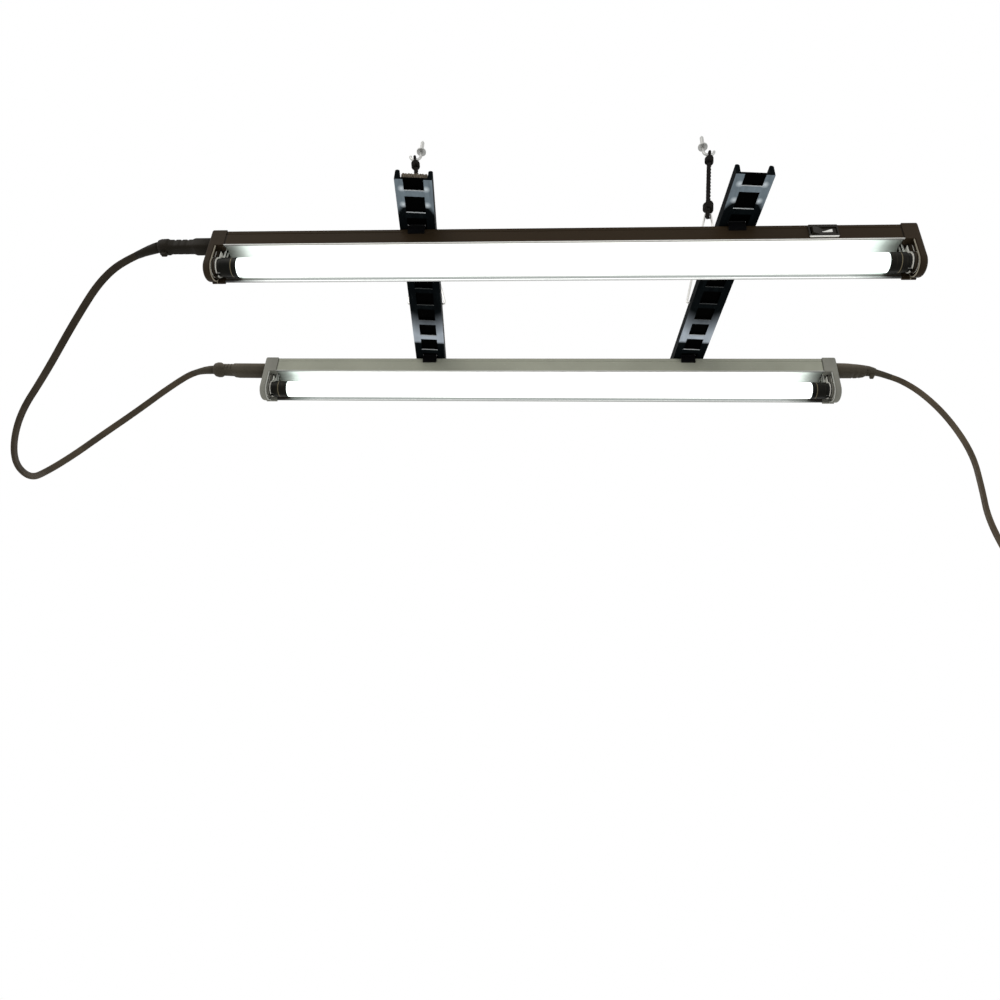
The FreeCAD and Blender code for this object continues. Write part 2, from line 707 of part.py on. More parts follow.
def hook(sign):
    """Screw hook: thread up into the ceiling, collar on its face and a bowl below for the cord."""
    x = sign * (hook_spacing / 2 - hook_bowl)
    shank = rod(thread_radius, thread_length - thread_tip, V(x, 0, 0), V(0, 0, 1))
    tip = Part.makeCone(thread_radius, 0, thread_tip, V(x, 0, thread_length - thread_tip), V(0, 0, 1))
    collar = rod(collar_radius, collar_thickness, V(x, 0, 0), V(0, 0, -1))
    neck, level = V(x, 0, -collar_thickness), -collar_thickness - hook_neck
    out = sign * hook_bowl
    bottom = V(x + out, 0, level - hook_bowl)
    path = Part.Wire([Part.LineSegment(neck, V(x, 0, level)).toShape(),
                      Part.Arc(V(x, 0, level), bottom, V(x + 2 * out, 0, level)).toShape()])
    wire = swept(path, hook_wire / 2, neck, (0, 0, -1))
    return shank.fuse([tip, collar, wire]).removeSplitter()


def plug_rear(strip, sign, length):
    x, y = STRIPS[strip]
    return V(x + sign * (half + length), y + axis_in, lip_z + socket_above)


def link_points():
    near = plug_rear("near", -1, near_plug_length)
    far = plug_rear("far", -1, far_plug_length)
    return [tuple(near + V(*p)) for p in link_route] + [tuple(far + V(*p)) for p in link_route_end]


def mains_points():
    start = plug_rear("far", 1, mains_connector_length)
    return [tuple(start + V(*p)) for p in mains_route]


def coil_path():
    """Half turns that close in on one layer, climb to the next and open out again, then a quarter turn."""
    pitch = flex + coil_turn_gap
    start = V(*mains_points()[-1])
    top = start - V(0, flex, 0)
    edges = [Part.LineSegment(start, top).toShape()]
    here, radius, up = top, coil_outer, -1

    def half_turn(here, radius, up, side):
        centre = here + V(0, 0, up * radius)
        end = centre + V(0, 0, up * radius)
        edges.append(Part.Arc(here, centre + V(0, side * radius, 0), end).toShape())
        return end

    side = -1
    for k in range(coil_loops_each_way):
        here = half_turn(here, radius, up, side)
        radius -= pitch / 2
        up, side = -up, -side
    rise = V(pitch, 0, 0)
    centre = here + V(0, 0, up * radius) + rise / 2
    far_out = math.sqrt(radius ** 2 + (pitch / 2) ** 2)
    middle = centre + V(0, side * far_out, 0)
    end = here + V(0, 0, 2 * up * radius) + rise
    for a, b, start_way in ((here, middle, V(0, side, 0)), (end, middle, V(0, side, 0))):
        chord = b - a
        way = start_way - chord * (start_way.dot(chord) / chord.dot(chord))
        way.normalize()
        swing = start_way.getAngle(chord)
        bow = chord.Length / 2 * math.tan(swing / 2)
        arc = Part.Arc(a, (a + b) / 2 + way * bow, b)
        edges.append(arc.toShape())
    here = end
    up, side = -up, -side
    for k in range(coil_loops_each_way - 1):
        radius += pitch / 2
        here = half_turn(here, radius, up, side)
        up, side = -up, -side
    radius += pitch / 2
    centre = here + V(0, 0, up * radius)
    turn = math.sqrt(0.5) * radius
    end = centre + V(0, side * radius, 0)
    edges.append(Part.Arc(here, centre + V(0, side * turn, -up * turn), end).toShape())
    tip = end + V(0, 0, up * coil_tail)
    edges.append(Part.LineSegment(end, tip).toShape())
    return Part.Wire(Part.__sortEdges__(edges)), start, tip


def coil_gap(path):
    """Least distance between turns, measured on points along the wire, less the flex's own width."""
    step, neighbourhood = flex / 3, 4 * flex
    points = []
    for edge in path.OrderedEdges:
        points += edge.discretize(Distance=step)
    least = path.Length
    for i, a in enumerate(points):
        for b in points[i + math.ceil(neighbourhood / step):]:
            least = min(least, (a - b).Length)
    return least - flex


def mains_coil():
    path, start, tip = coil_path()
    solid = swept(path, flex / 2, start, (0, -1, 0))
    section = math.pi * flex ** 2 / 4
    print("coil length", round(path.Length, 1), "least gap", round(coil_gap(path), 2),
          "valid", solid.isValid(), "volume share", round(solid.Volume / (section * path.Length), 4))
    return solid


def coil_tie():
    """Band round the bundle of turns at the coil's far side."""
    pitch = flex + coil_turn_gap
    start = V(*mains_points()[-1])
    centre = start - V(0, flex, coil_outer)
    outer = coil_outer - pitch / 2
    inner = coil_outer - coil_loops_each_way * pitch / 2
    y0, y1 = centre.y + inner - flex / 2 - tie_gap, centre.y + outer + flex / 2 + tie_gap
    x0, x1 = centre.x - flex / 2 - tie_gap, centre.x + pitch + flex / 2 + tie_gap
    middle = centre.z - pitch / 2
    z0, z1 = middle - tie_width / 2, middle + tie_width / 2
    t = tie_thickness
    band = block(x0 - t, x1 + t, y0 - t, y1 + t, z0, z1)
    band = rounded(band, 2 * t, lambda e: abs(e.Vertexes[0].Z - e.Vertexes[-1].Z) > slack)
    inside = block(x0, x1, y0, y1, z0 - overrun, z1 + overrun)
    inside = rounded(inside, t, lambda e: abs(e.Vertexes[0].Z - e.Vertexes[-1].Z) > slack)
    return band.cut(inside)


def mains_plug():
    """Two-pin plug that hangs at the end of the coil."""
    path, start, end = coil_path()
    w, d = mains_plug_width / 2, mains_plug_depth / 2
    neck = rod(mains_plug_neck_radius, mains_plug_neck, end, V(0, 0, -1))
    low = end.z - mains_plug_length
    body = block(end.x - d, end.x + d, end.y - w, end.y + w, low, end.z - mains_plug_neck)
    body = rounded(body, mains_plug_depth / 4, lambda e: abs(e.Vertexes[0].Z - e.Vertexes[-1].Z) > slack)
    aside = mains_pin_spacing / 2
    pins = [rod(mains_pin_radius, mains_pin_length, V(end.x, end.y + y, low), V(0, 0, -1))
            for y in (-aside, aside)]
    return body.fuse(neck).fuse(pins).removeSplitter()


def build():
    os.makedirs("parts", exist_ok=True)
    screws = []
    for strip in STRIPS:
        save(f"{strip}_shell", at_strip(shell(strip), strip))
        save(f"{strip}_reflector", at_strip(reflector(), strip))
        save(f"{strip}_lamp_glass", at_strip(glass(), strip))
        save(f"{strip}_ballast", *[at_strip(s, strip) for s in ballast()])
        save(f"{strip}_wires", *[at_strip(s, strip) for s in wires(strip)])
        for side, sign in SIDES.items():
            save(f"{strip}_end_cap_{side}", at_end(end_cap(), strip, sign))
            save(f"{strip}_holder_{side}", at_end(holder(), strip, sign))
            save(f"{strip}_rotor_{side}", at_end(rotor(), strip, sign))
            save(f"{strip}_lamp_cap_{side}", *[at_end(s, strip, sign) for s in lamp_cap()])
            save(f"{strip}_socket_{side}", *[at_end(s, strip, sign) for s in socket()])
            screws.append(at_end(holder_screw(), strip, sign))
    save("holder_screws", *screws)
    save("switch_body", at_strip(switch_body(), "near"))
    save("rocker", at_strip(rocker(), "near"))
    for side, sign in SIDES.items():
        save(f"bar_{side}", bar(sign))
        for strip in STRIPS:
            save(f"clip_{strip}_{side}", clip(sign, strip))
        save(f"bail_{side}", bail(sign))
        save(f"lower_knot_{side}", lower_knot(sign))
        save(f"upper_knot_{side}", upper_knot(sign))
        save(f"suspension_cord_{side}", suspension_cord(sign))
        save(f"ceiling_hook_{side}", hook(sign))
    near_link_plug = plug(near_plug_length, near_head_length, near_collar_radius)
    far_link_plug = plug(far_plug_length, far_head_length, far_collar_radius, ribs=3, fin=False)
    connector = plug(mains_connector_length, mains_head_length, mains_collar_radius)
    save("link_plug_near", at_end(near_link_plug, "near", SIDES["left"]))
    save("link_plug_far", at_end(far_link_plug, "far", SIDES["left"]))
    save("link_cord", tube(link_points(), flex, "link cord"))
    save("mains_connector", at_end(connector, "far", SIDES["right"]))
    save("mains_cord", tube(mains_points(), flex, "mains cord"))
    save("mains_cord_coil", mains_coil())
    save("coil_tie", coil_tie())
    save("mains_plug", mains_plug())


build()
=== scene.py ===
"""A pair of linked strip lights under slotted bars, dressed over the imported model."""
import json
import math

import bpy
import bmesh
from mathutils import Matrix, Vector


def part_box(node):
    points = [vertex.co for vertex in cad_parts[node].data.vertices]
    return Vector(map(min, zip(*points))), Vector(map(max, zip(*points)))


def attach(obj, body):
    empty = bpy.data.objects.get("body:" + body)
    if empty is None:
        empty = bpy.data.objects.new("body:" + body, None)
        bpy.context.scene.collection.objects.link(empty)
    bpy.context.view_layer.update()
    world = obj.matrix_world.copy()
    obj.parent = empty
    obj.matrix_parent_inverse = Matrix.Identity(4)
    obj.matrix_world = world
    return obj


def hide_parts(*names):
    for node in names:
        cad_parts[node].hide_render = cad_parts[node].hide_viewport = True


bl_info = {
    "name": "Strip light pair",
    "version": (1, 0, 0),
    "blender": (4, 5, 0),
    "location": "3D View > Sidebar > Strip light",
    "description": "Dresses a pair of linked strip lights that hang under two slotted bars",
    "category": "Add Mesh",
}

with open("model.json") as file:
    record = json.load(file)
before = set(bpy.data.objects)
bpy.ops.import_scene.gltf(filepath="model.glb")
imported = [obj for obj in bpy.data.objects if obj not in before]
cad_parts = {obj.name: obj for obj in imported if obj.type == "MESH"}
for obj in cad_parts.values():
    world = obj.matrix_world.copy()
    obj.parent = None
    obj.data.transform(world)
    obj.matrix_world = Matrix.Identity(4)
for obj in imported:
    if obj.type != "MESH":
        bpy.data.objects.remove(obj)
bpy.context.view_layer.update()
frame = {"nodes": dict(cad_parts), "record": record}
NODES = frame["nodes"]

MM = 0.001
SIDES = ("left", "right")
STRIPS = ("near", "far")
ALONG_X, ALONG_Y = Vector((1, 0, 0)), Vector((0, 1, 0))
BACKDROP_RAYS = ("Is Camera Ray", "Is Glossy Ray", "Is Transmission Ray")

# Places from the part's source, in metres
HANG_BACK = 3.5 * MM
NEAR_X, FAR_X = -5.9 * MM, -14.3 * MM
NEAR_Y, FAR_Y = -92.7 * MM - HANG_BACK, 73.0 * MM - HANG_BACK
LIP_Z = -244.0 * MM
HALF = 287.5 * MM
AXIS_IN = 9.85 * MM
OUTLET_UP = 8.4 * MM
SOCKET_Z = LIP_Z + OUTLET_UP
PIVOT_Z = -219.8 * MM
BAR_MID = {"left": -124.9 * MM, "right": 134.7 * MM}
BAR_SKEW = math.radians(3.85)
BAR_Z = LIP_Z + 16.8 * MM
BOWL = {"left": Vector((-155.9, 0, -14)) * MM, "right": Vector((155.9, 0, -14)) * MM}
STRIP_AT = {"near": Vector((NEAR_X, NEAR_Y, LIP_Z)), "far": Vector((FAR_X, FAR_Y, LIP_Z))}
OUTLET_LEFT = Vector((-HALF, AXIS_IN, OUTLET_UP))
OUTLET_RIGHT = Vector((HALF, AXIS_IN, OUTLET_UP))

# Lengths of the plugs in millimetres, and where their cords begin in metres
NEAR_PLUG_LENGTH = 48
FAR_PLUG_LENGTH = 57
CONNECTOR_LENGTH = 30
MAINS_PLUG_LENGTH = 42
NEAR_PLUG_BACK = Vector((NEAR_X - HALF - NEAR_PLUG_LENGTH * MM, NEAR_Y + AXIS_IN, SOCKET_Z))
FAR_PLUG_BACK = Vector((FAR_X - HALF - FAR_PLUG_LENGTH * MM, FAR_Y + AXIS_IN, SOCKET_Z))
CONNECTOR_BACK = Vector((FAR_X + HALF + CONNECTOR_LENGTH * MM, FAR_Y + AXIS_IN, SOCKET_Z))

# Marks on a strip, in millimetres
LAMP_BELOW = 16.0           # lamp's axis below the near lip
CAP_SEAM = 273.4            # inner edge of the end caps from the strip's middle
LAMP_CAP_HIGHLIGHTS = (260.9, 273.4)     # painted highlights, thin brassy lines, on a lamp's caps from the lamp's middle
SWITCH_MIDDLE = 212.7       # switch from the near strip's middle

# Slots of a bar, in millimetres and in shares of their pitch
SLOT_PITCH = 21.2
SLOT_HALF_WIDTH = 8.1
SLOT_HALF_SHARE = 0.37

# Routes in millimetres, from the back of a plug or connector
LINK_ROUTE = [(0, 0, 0), (-18.9, 3.5, -2.9), (-55.3, 18.8, -12), (-85.1, 41.9, -47.8), (-109, 62.1, -86.6),
              (-132.6, 78.6, -121.2), (-145.3, 105.7, -148.8), (-148, 137.4, -150.4), (-150.8, 159.3, -128.4),
              (-141.3, 173.3, -101.1), (-125.5, 179.9, -74.1)]
LINK_ROUTE_END = [(-80.2, 16.2, -42), (-48, 11.2, -12.6), (-17.7, 0, 0), (0, 0, 0)]
MAINS_ROUTE = [(0, 0, 0), (8, 0, -1), (20, 0, -6.2), (34, 0, -13.2), (50.6, 0, -29.5), (67.1, 0, -57.5),
               (78.8, 0, -96), (77.6, 0, -132.8), (75, 0, -164), (83, 0, -204), (86.5, -10.2, -221.6),
               (87.6, -27.9, -231.8), (87.6, -48.3, -231.8)]

# Coil of the mains cord, in millimetres
COIL_OUTER = 45.0           # radius of its first turn
COIL_PITCH = 6.8            # between turns, and between its two layers
COIL_LEAD = 6.3             # from the route's end to the first turn
COIL_TAIL = 56.0
COIL_HALF_TURNS = 5         # of each layer
COIL_STEPS = 12             # control points of a half turn

# Furthest that two points of a cord's or a rope's line lie apart, in metres
CORD_STEP = 2.2 * MM
ROPE_STEP = 0.7 * MM

# The tie, the ropes and the ribs, in millimetres
TIE_WALL = 1.1
KNOT_ROPE = 1.9             # half the rope's width in a knot
LOOP_RADIUS = 3.9
LOOP_ROPE = 1.45            # half the rope's width in a loop
TAIL_WIDTH = 3.3
WRAP_WIDTH = 3.2
WRAP_LAY = 11
RIB_BAND = 0.75             # half the width of a grip rib


def length_setting(name, description, millimetres):
    return bpy.props.FloatProperty(name=name, description=description, default=millimetres * MM,
                                   unit="LENGTH")


def colour_setting(name, description, colour):
    return bpy.props.FloatVectorProperty(name=name, description=description, default=colour, size=3,
                                         subtype="COLOR")


class StripLightSizes(bpy.types.PropertyGroup):
    """Sizes of the pieces that are made here rather than taken from the frame."""
    flex_width: length_setting("Flex width", "Across both cores of the flat flex", 6.3)
    flex_thickness: length_setting("Flex thickness", "Through one core of the flat flex", 3.6)
    flex_twist: bpy.props.FloatProperty(
        name="Flex twist", description="How far the flat flex turns along the link cord", default=-1.6,
        subtype="ANGLE")
    rope_width: length_setting("Rope width", "Across the suspension rope", 4.8)
    rope_lay: length_setting("Rope lay", "Length in which the strands go round once", 15)
    knot_wraps: bpy.props.FloatProperty(
        name="Knot wraps", description="Turns of rope round each knot", default=3.5)


class StripLightColours(bpy.types.PropertyGroup):
    """Finishes, as linear colours."""
    # The near and far housings are one white paint, given as a shaded and a lit copy: the near strip's dark
    # brown is painted shade
    near_paint: colour_setting("Near housing", "Paint of the near strip", (0.0275, 0.018, 0.0095))
    far_paint: colour_setting("Far housing", "Paint of the far strip", (0.335, 0.34, 0.275))
    bar_paint: colour_setting("Bars", "Paint of the slotted bars", (0.0025, 0.0035, 0.004))
    lamp_glow: colour_setting("Lamp", "Colour of the lit lamp", (1.0, 1.0, 0.985))
    flex_jacket: colour_setting("Flex", "Jacket of both flexes", (0.062, 0.048, 0.032))
    rope_fibre: colour_setting("Rope", "Fibre of the suspension rope", (0.008, 0.0065, 0.0055))


def sizes():
    return bpy.context.scene.strip_light_sizes


def colours():
    return bpy.context.scene.strip_light_colours


# Finishes

FINISHES = {}


def maths(operation, swapped=False):
    """A method that puts a channel, and a second one or a number, through one step of arithmetic."""
    def method(self, other=0.0):
        first, second = (other, self) if swapped else (self, other)
        return self.owner.add("ShaderNodeMath", {0: first, 1: second}, operation=operation)
    return method


class Channel:
    """A node's output that takes part in sums, so that a finish reads as a formula."""
    __add__ = maths("ADD")
    __sub__ = maths("SUBTRACT")
    __rsub__ = maths("SUBTRACT", swapped=True)
    __mul__ = maths("MULTIPLY")
    __truediv__ = maths("DIVIDE")
    __pow__ = maths("POWER")
    __abs__ = maths("ABSOLUTE")
    over = maths("GREATER_THAN")
    under = maths("LESS_THAN")
    larger = maths("MAXIMUM")
    fraction = maths("FRACT")

    def __init__(self, owner, socket):
        self.owner, self.socket = owner, socket

    def within(self, middle, reach):
        """1 where this is no further than the reach from the middle."""
        return abs(self - middle).under(reach)


class Nodes:
    """A shader's node tree, and the few ways in which its nodes are put together."""

    def __init__(self, tree, output):
        self.tree = tree
        tree.nodes.clear()
        self.output = tree.nodes.new(output)

    def add(self, kind, inputs, output=0, **settings):
        """A node with its settings made first, then its inputs, each a value or a channel."""
        node = self.tree.nodes.new(kind)
        for key, value in settings.items():
            setattr(node, key, value)
        for key, value in inputs.items():
            socket = node.inputs[key] if isinstance(key, int) else next(
                s for s in node.inputs if s.identifier == key or (s.name == key and s.enabled))
            if isinstance(value, Channel):
                self.tree.links.new(value.socket, socket)
            elif socket.type == "RGBA" and len(value) == 3:
                socket.default_value = (*value, 1.0)
            else:
                socket.default_value = value
        return Channel(self, node.outputs[output])

    def blend(self, factor, a, b):
        return self.add("ShaderNodeMix", {"Factor_Float": factor, "A_Color": a, "B_Color": b}, output=2,
                        data_type="RGBA")

    def layers(self, tone, *marks):
        """Marks over a tone, each a share and a colour, with the last one on top."""
        for share, colour in marks:
            tone = self.blend(share, tone, colour)
        return tone

    def clamp(self, value, low, high):
        """0 at low and 1 at high, held between."""
        return self.add("ShaderNodeMapRange", {"Value": value, "From Min": low, "From Max": high}, clamp=True)

    def backdrop(self):
        """1 for the rays that see the white backdrop."""
        rays = self.tree.nodes.new("ShaderNodeLightPath")
        camera, glossy, transmission = [Channel(self, rays.outputs[kind]) for kind in BACKDROP_RAYS]
        return camera.larger(glossy).larger(transmission)

    def close(self, shader):
        self.tree.links.new(shader.socket, self.output.inputs["Surface"])


class Finish(Nodes):
    """A material, kept in FINISHES under its name."""

    def __init__(self, name):
        material = bpy.data.materials.new(name)
        material.use_nodes = True
        super().__init__(material.node_tree, "ShaderNodeOutputMaterial")
        self.place = self.add("ShaderNodeTexCoord", {}, output="Object")
        FINISHES[name] = material

    def axes(self):
        node = self.add("ShaderNodeSeparateXYZ", {0: self.place}).socket.node
        return [Channel(self, socket) for socket in node.outputs]

    def on_strip(self, strip):
        """Millimetres from a strip's middle, from its near lip inwards and from its near lip upwards."""
        return [(axis - start) * 1000 for axis, start in zip(self.axes(), STRIP_AT[strip])]

    def on_bar(self, side):
        """Millimetres across a bar, along it and above its underside."""
        x, y, z = self.axes()
        c, s = math.cos(BAR_SKEW), math.sin(BAR_SKEW)
        x, y = (x - BAR_MID[side]) * 1000, (y + HANG_BACK) * 1000
        return x * c + y * s, y * c - x * s, (z - BAR_Z) * 1000

    def noise(self, scale, detail=3.0, roughness=0.5, stretch=None):
        place = self.place
        if stretch:
            place = self.add("ShaderNodeMapping", {"Vector": place, "Scale": stretch})
        return self.add("ShaderNodeTexNoise", {
            "Vector": place, "Scale": scale, "Detail": detail, "Roughness": roughness})

    def surface(self, relief, strength, depth=0.1, **inputs):
        """The closing shader over a relief whose depth is in millimetres. Underscores stand for spaces."""
        named = {key.replace("_", " "): value for key, value in inputs.items()}
        named["Normal"] = self.add("ShaderNodeBump", {
            "Height": relief, "Strength": strength, "Distance": depth * MM})
        self.close(self.add("ShaderNodeBsdfPrincipled", named))


def scaled(colour, share):
    return tuple(min(1.0, c * share) for c in colour)


def painted_sheet(name, strip, paint, lip, inside):
    """Sprayed sheet: faint orange peel, dust and patches, a painted highlight along the lip's edge over
    painted shade beneath it, and a pale inside, a lit copy of the paint that turns to painted shade towards
    the ends.
    """
    f = Finish(name)
    x, y, z = f.on_strip(strip)
    patches = f.noise(9.0, 4.0, 0.6)
    orange_peel = f.noise(1900.0, 2.0, 0.5)
    dust = f.clamp(f.noise(420.0, 2.0, 0.7), 0.66, 0.74)
    highlight_breakup = f.noise(260.0, 3.0, 0.6, stretch=(0.15, 1.0, 1.0)) * 0.3 + 0.75
    top_edge = f.clamp(z, 14.6, 16.0)
    cap_seam = abs(x).within(CAP_SEAM, 0.6)
    # Painted highlight: the lip's lower edge, where light catches it, broken up by noise
    lit_lip_edge = z.within(0.1, 0.5) * y.under(0.25)
    # Painted shade: the lip's underside, a darker copy of the highlight's colour
    shaded_lip_underside = y.within(1.2, 0.75) * z.under(0.5)
    # Painted light: the inner faces carry a pale, lit copy of the paint, turning to painted shade towards the
    # strip's ends
    lit_inner_faces = y.over(2.0) * y.under(19.45) * z.under(15.5)
    towards_ends = f.clamp(abs(x), 238.0, 268.0)
    tone = f.layers(
        f.blend(f.clamp(patches, 0.35, 0.7), scaled(paint, 0.88), scaled(paint, 1.12)),
        (dust * 0.3, scaled(paint, 1.7)),
        (top_edge * 0.45, scaled(paint, 0.3)),
        (cap_seam * 0.85, scaled(paint, 0.25)),
        (lit_lip_edge * highlight_breakup, lip),
        (shaded_lip_underside, scaled(lip, 0.35)),
        (lit_inner_faces, f.blend(towards_ends, inside, scaled(inside, 0.1))))
    f.surface(orange_peel, 0.12, Base_Color=tone, Roughness=patches * 0.16 + 0.42, Specular_IOR_Level=0.05)


def white_reflector(name, strip):
    """White enamel with a grey-green painted reflection of the lamp's dimmer ends, painted shade at its own
    ends, and darker painted shade along its foot.
    """
    f = Finish(name)
    x, y, z = f.on_strip(strip)
    mottle = f.noise(30.0, 3.0, 0.6)
    # Painted reflection: the lamp's greener, dimmer ends tint the enamel grey-green
    lamp_end_reflection = f.clamp(abs(x), 236.0, 264.0)
    shaded = f.clamp(abs(x), 258.0, 274.0)
    # Painted shade: the foot below the lamp is dark grey, darkest towards the ends
    foot = 1 - f.clamp(z, -20.4, -16.8)
    foot_shade = f.blend(f.clamp(abs(x), 232.0, 264.0), (0.2, 0.215, 0.21), (0.045, 0.038, 0.031))
    tone = f.layers(
        (0.88, 0.89, 0.88),
        (lamp_end_reflection * 0.3, (0.62, 0.74, 0.66)),
        (shaded * 0.8, (0.17, 0.18, 0.15)),
        (f.clamp(mottle, 0.4, 0.75) * 0.1, (0.7, 0.7, 0.66)),
        (foot, foot_shade))
    f.surface(f.noise(1500.0, 2.0), 0.08, Base_Color=tone, Roughness=mottle * 0.1 + 0.28,
              Specular_IOR_Level=0.15)


def moulded(name, colour, gloss=0.5, shine=0.12, grain=1400.0, wear=1.35):
    """Moulded plastic with a fine spark-eroded grain and faint handling marks."""
    grained(Finish(name), colour, gloss, shine, grain, wear)


def grained(f, colour, gloss, shine, grain, wear, *marks):
    """The moulded look, with pale marks over it: each a share and a colour."""
    patches = f.noise(38.0, 3.0, 0.6)
    grit = f.noise(grain, 3.0, 0.6)
    handled = f.clamp(f.noise(110.0, 5.0, 0.7, stretch=(1.0, 0.35, 2.2)), 0.6, 0.72)
    tone = f.layers(
        f.blend(f.clamp(patches, 0.3, 0.75), scaled(colour, 0.85), scaled(colour, 1.12)),
        (handled * 0.4, scaled(colour, wear)),
        *[(share * (patches * 0.6 + 0.7), pale) for share, pale in marks])
    f.surface(grit, 0.25, Base_Color=tone, Roughness=grit * 0.12 + (gloss - 0.06), Specular_IOR_Level=shine)


def end_cap_plastic(name, strip, colour, rim):
    """Moulded cap with a pale painted highlight on its rim beside the lamp holder."""
    f = Finish(name)
    x, y, z = f.on_strip(strip)
    # Painted highlight: the rim's edge beside the lamp holder, lit by the lamp
    lit_rim = abs(x).within(280.7, 0.3) * z.under(-0.5)
    grained(f, colour, 0.55, 0.06, 1400.0, 1.35, (lit_rim, rim))


def holder_plastic(name, strip, back):
    """Dark shiny moulding with a paler back and bright steps where light runs round the drum."""
    f = Finish(name)
    x, y, z = f.on_strip(strip)
    in_from_axis, up_from_axis = y - AXIS_IN / MM, z + LAMP_BELOW
    from_axis = (in_from_axis * in_from_axis + up_from_axis * up_from_axis) ** 0.5
    steps = (abs(x).within(277.35, 0.25) + abs(x).within(281.2, 0.3)) * from_axis.over(6.7) * z.under(-2.0)
    paler_side = abs(x).over(278.6)
    grained(f, (0.008, 0.0075, 0.006), 0.34, 0.08, 1600.0, 2.2, (paler_side, back), (steps, (0.72, 0.7, 0.64)))


def switch_moulding(name, marks):
    """Glossy switch plastic. The marks are where light catches its edges."""
    f = Finish(name)
    x, y, z = f.on_strip("near")
    grained(f, (0.016, 0.013, 0.009), 0.3, 0.12, 1800.0, 1.6,
            (marks(x - SWITCH_MIDDLE, y, z), (0.8, 0.79, 0.74)))


def bezel_light(x, y, z):
    return z.within(2.2, 0.45) * y.under(-0.1)


def rocker_light(x, y, z):
    return x.over(-1.0) * x.under(7.2) * z.over(7.5) * (z - x * 0.36).under(8.3) * y.under(0.5)


def drawn_metal(name, colour, gloss=0.35, stretch=(1.0, 1.0, 1.0)):
    """Plated or drawn metal with fine lines along its stretch."""
    f = Finish(name)
    lines = f.noise(700.0, 2.0, 0.6, stretch=stretch)
    cloud = f.noise(60.0, 3.0, 0.6)
    tone = f.blend(f.clamp(cloud, 0.35, 0.75), scaled(colour, 0.75), colour)
    f.surface(lines, 0.2, Base_Color=tone, Metallic=0.92, Roughness=lines * 0.16 + gloss)


def lit_lamp(name, colour):
    """Glass with its white coating lit from inside, greener and dimmer just before the caps."""
    f = Finish(name)
    x, y, z = f.axes()
    middle = (NEAR_X + FAR_X) / 2
    soot = f.noise(160.0, 3.0)
    glow = f.blend(f.clamp(abs(x - middle), 0.236, 0.264), colour, (0.8, 0.93, 0.88))
    named = {"Base Color": (0.3, 0.31, 0.3), "Roughness": soot * 0.06 + 0.14, "Emission Color": glow,
             "Emission Strength": 2.2}
    f.close(f.add("ShaderNodeBsdfPrincipled", named))


def lamp_cap_metal(name):
    """Dark aluminium cap with a turned look and thin brassy lines that are painted highlights."""
    f = Finish(name)
    x, y, z = f.on_strip("near")
    middle = (FAR_X - NEAR_X) / MM / 2
    reach = abs(x - middle)
    lines = f.noise(900.0, 2.0, 0.6, stretch=(1.0, 0.05, 0.05))
    # Painted highlights: thin brassy lines at the cap's edges
    inner_highlight, outer_highlight = [reach.within(line, 0.3) for line in LAMP_CAP_HIGHLIGHTS]
    tone = f.layers(
        f.blend(f.clamp(f.noise(90.0, 3.0), 0.3, 0.75), (0.003, 0.003, 0.0025), (0.012, 0.011, 0.008)),
        (f.clamp(lines, 0.6, 0.72) * 0.3, (0.08, 0.066, 0.04)),
        ((inner_highlight + outer_highlight) * 0.5, (0.32, 0.27, 0.17)))
    f.surface(lines, 0.25, Base_Color=tone, Metallic=0.25, Roughness=lines * 0.2 + 0.3,
              Specular_IOR_Level=0.08)


def black_bar(name, side, colour):
    """Black paint with painted reflections of the lamps in two patches on the underside, painted glints by
    the near slots, slots painted near black as shade, and painted highlights along the outer slots' edges.
    """
    f = Finish(name)
    u, v, w = f.on_bar(side)
    streaks = f.noise(60.0, 4.0, 0.65, stretch=(3.0, 0.5, 1.0))
    scuffs = f.clamp(f.noise(260.0, 3.0, 0.7, stretch=(1.0, 0.3, 1.0)), 0.66, 0.74)
    underside = w.under(0.3)
    # Painted reflections: the lamps seen in the glossy underside, one patch before the near strip and one
    # between the strips
    near_lamp_reflection = (1 - f.clamp(v - u * u * 0.055, -124.0, -118.0)) * underside
    far_lamp_reflection = f.clamp(v + u * u * 0.03, 10.0, 42.0) ** 1.4 * (1 - f.clamp(v, 48.5, 51.5)) * underside
    # Painted glints: two bright spots beside the nearest slots
    glints = []
    for along in (116.5, 131.5):
        out, on = abs(u) - 9.6, v + along
        from_glint = (out * out + on * on) ** 0.5
        glints.append(((1 - f.clamp(from_glint, 0.3, 3.4)) * underside * 0.75, (0.68, 0.74, 0.78)))
    place = (v / SLOT_PITCH).fraction() - 0.5
    across = abs(u).under(SLOT_HALF_WIDTH)
    # Painted shade: the slots' floors and the notch at each end, painted near black
    shaded_slot_floor = across * abs(place).under(SLOT_HALF_SHARE) * w.within(1.5, 0.9)
    shaded_end_notch = across * abs(v).over(138.0) * w.under(2.4)
    slot_edge = across * place.within(0.369, 0.009) * w.under(0.8)
    # Painted highlight: the slots' far edges, where light catches them, fainter between the strips
    slot_edge_highlight = slot_edge * (1 - v.within(-15.0, 38.0) * 0.85)
    tone = f.layers(
        f.blend(f.clamp(streaks, 0.4, 0.8), colour, scaled(colour, 2.2)),
        (scuffs * 0.4, (0.02, 0.023, 0.026)),
        (near_lamp_reflection * (streaks * 0.8 + 0.35), (0.2, 0.245, 0.28)),
        (far_lamp_reflection * (streaks * 0.5 + 0.6), (0.44, 0.49, 0.55)),
        *glints,
        (f.clamp(shaded_slot_floor + shaded_end_notch, 0.0, 1.0), (0.0006, 0.0006, 0.0006)),
        (slot_edge_highlight, (0.62, 0.65, 0.66)))
    f.surface(f.noise(900.0, 2.0), 0.1, Base_Color=tone, Roughness=streaks * 0.22 + 0.3,
              Specular_IOR_Level=0.002)


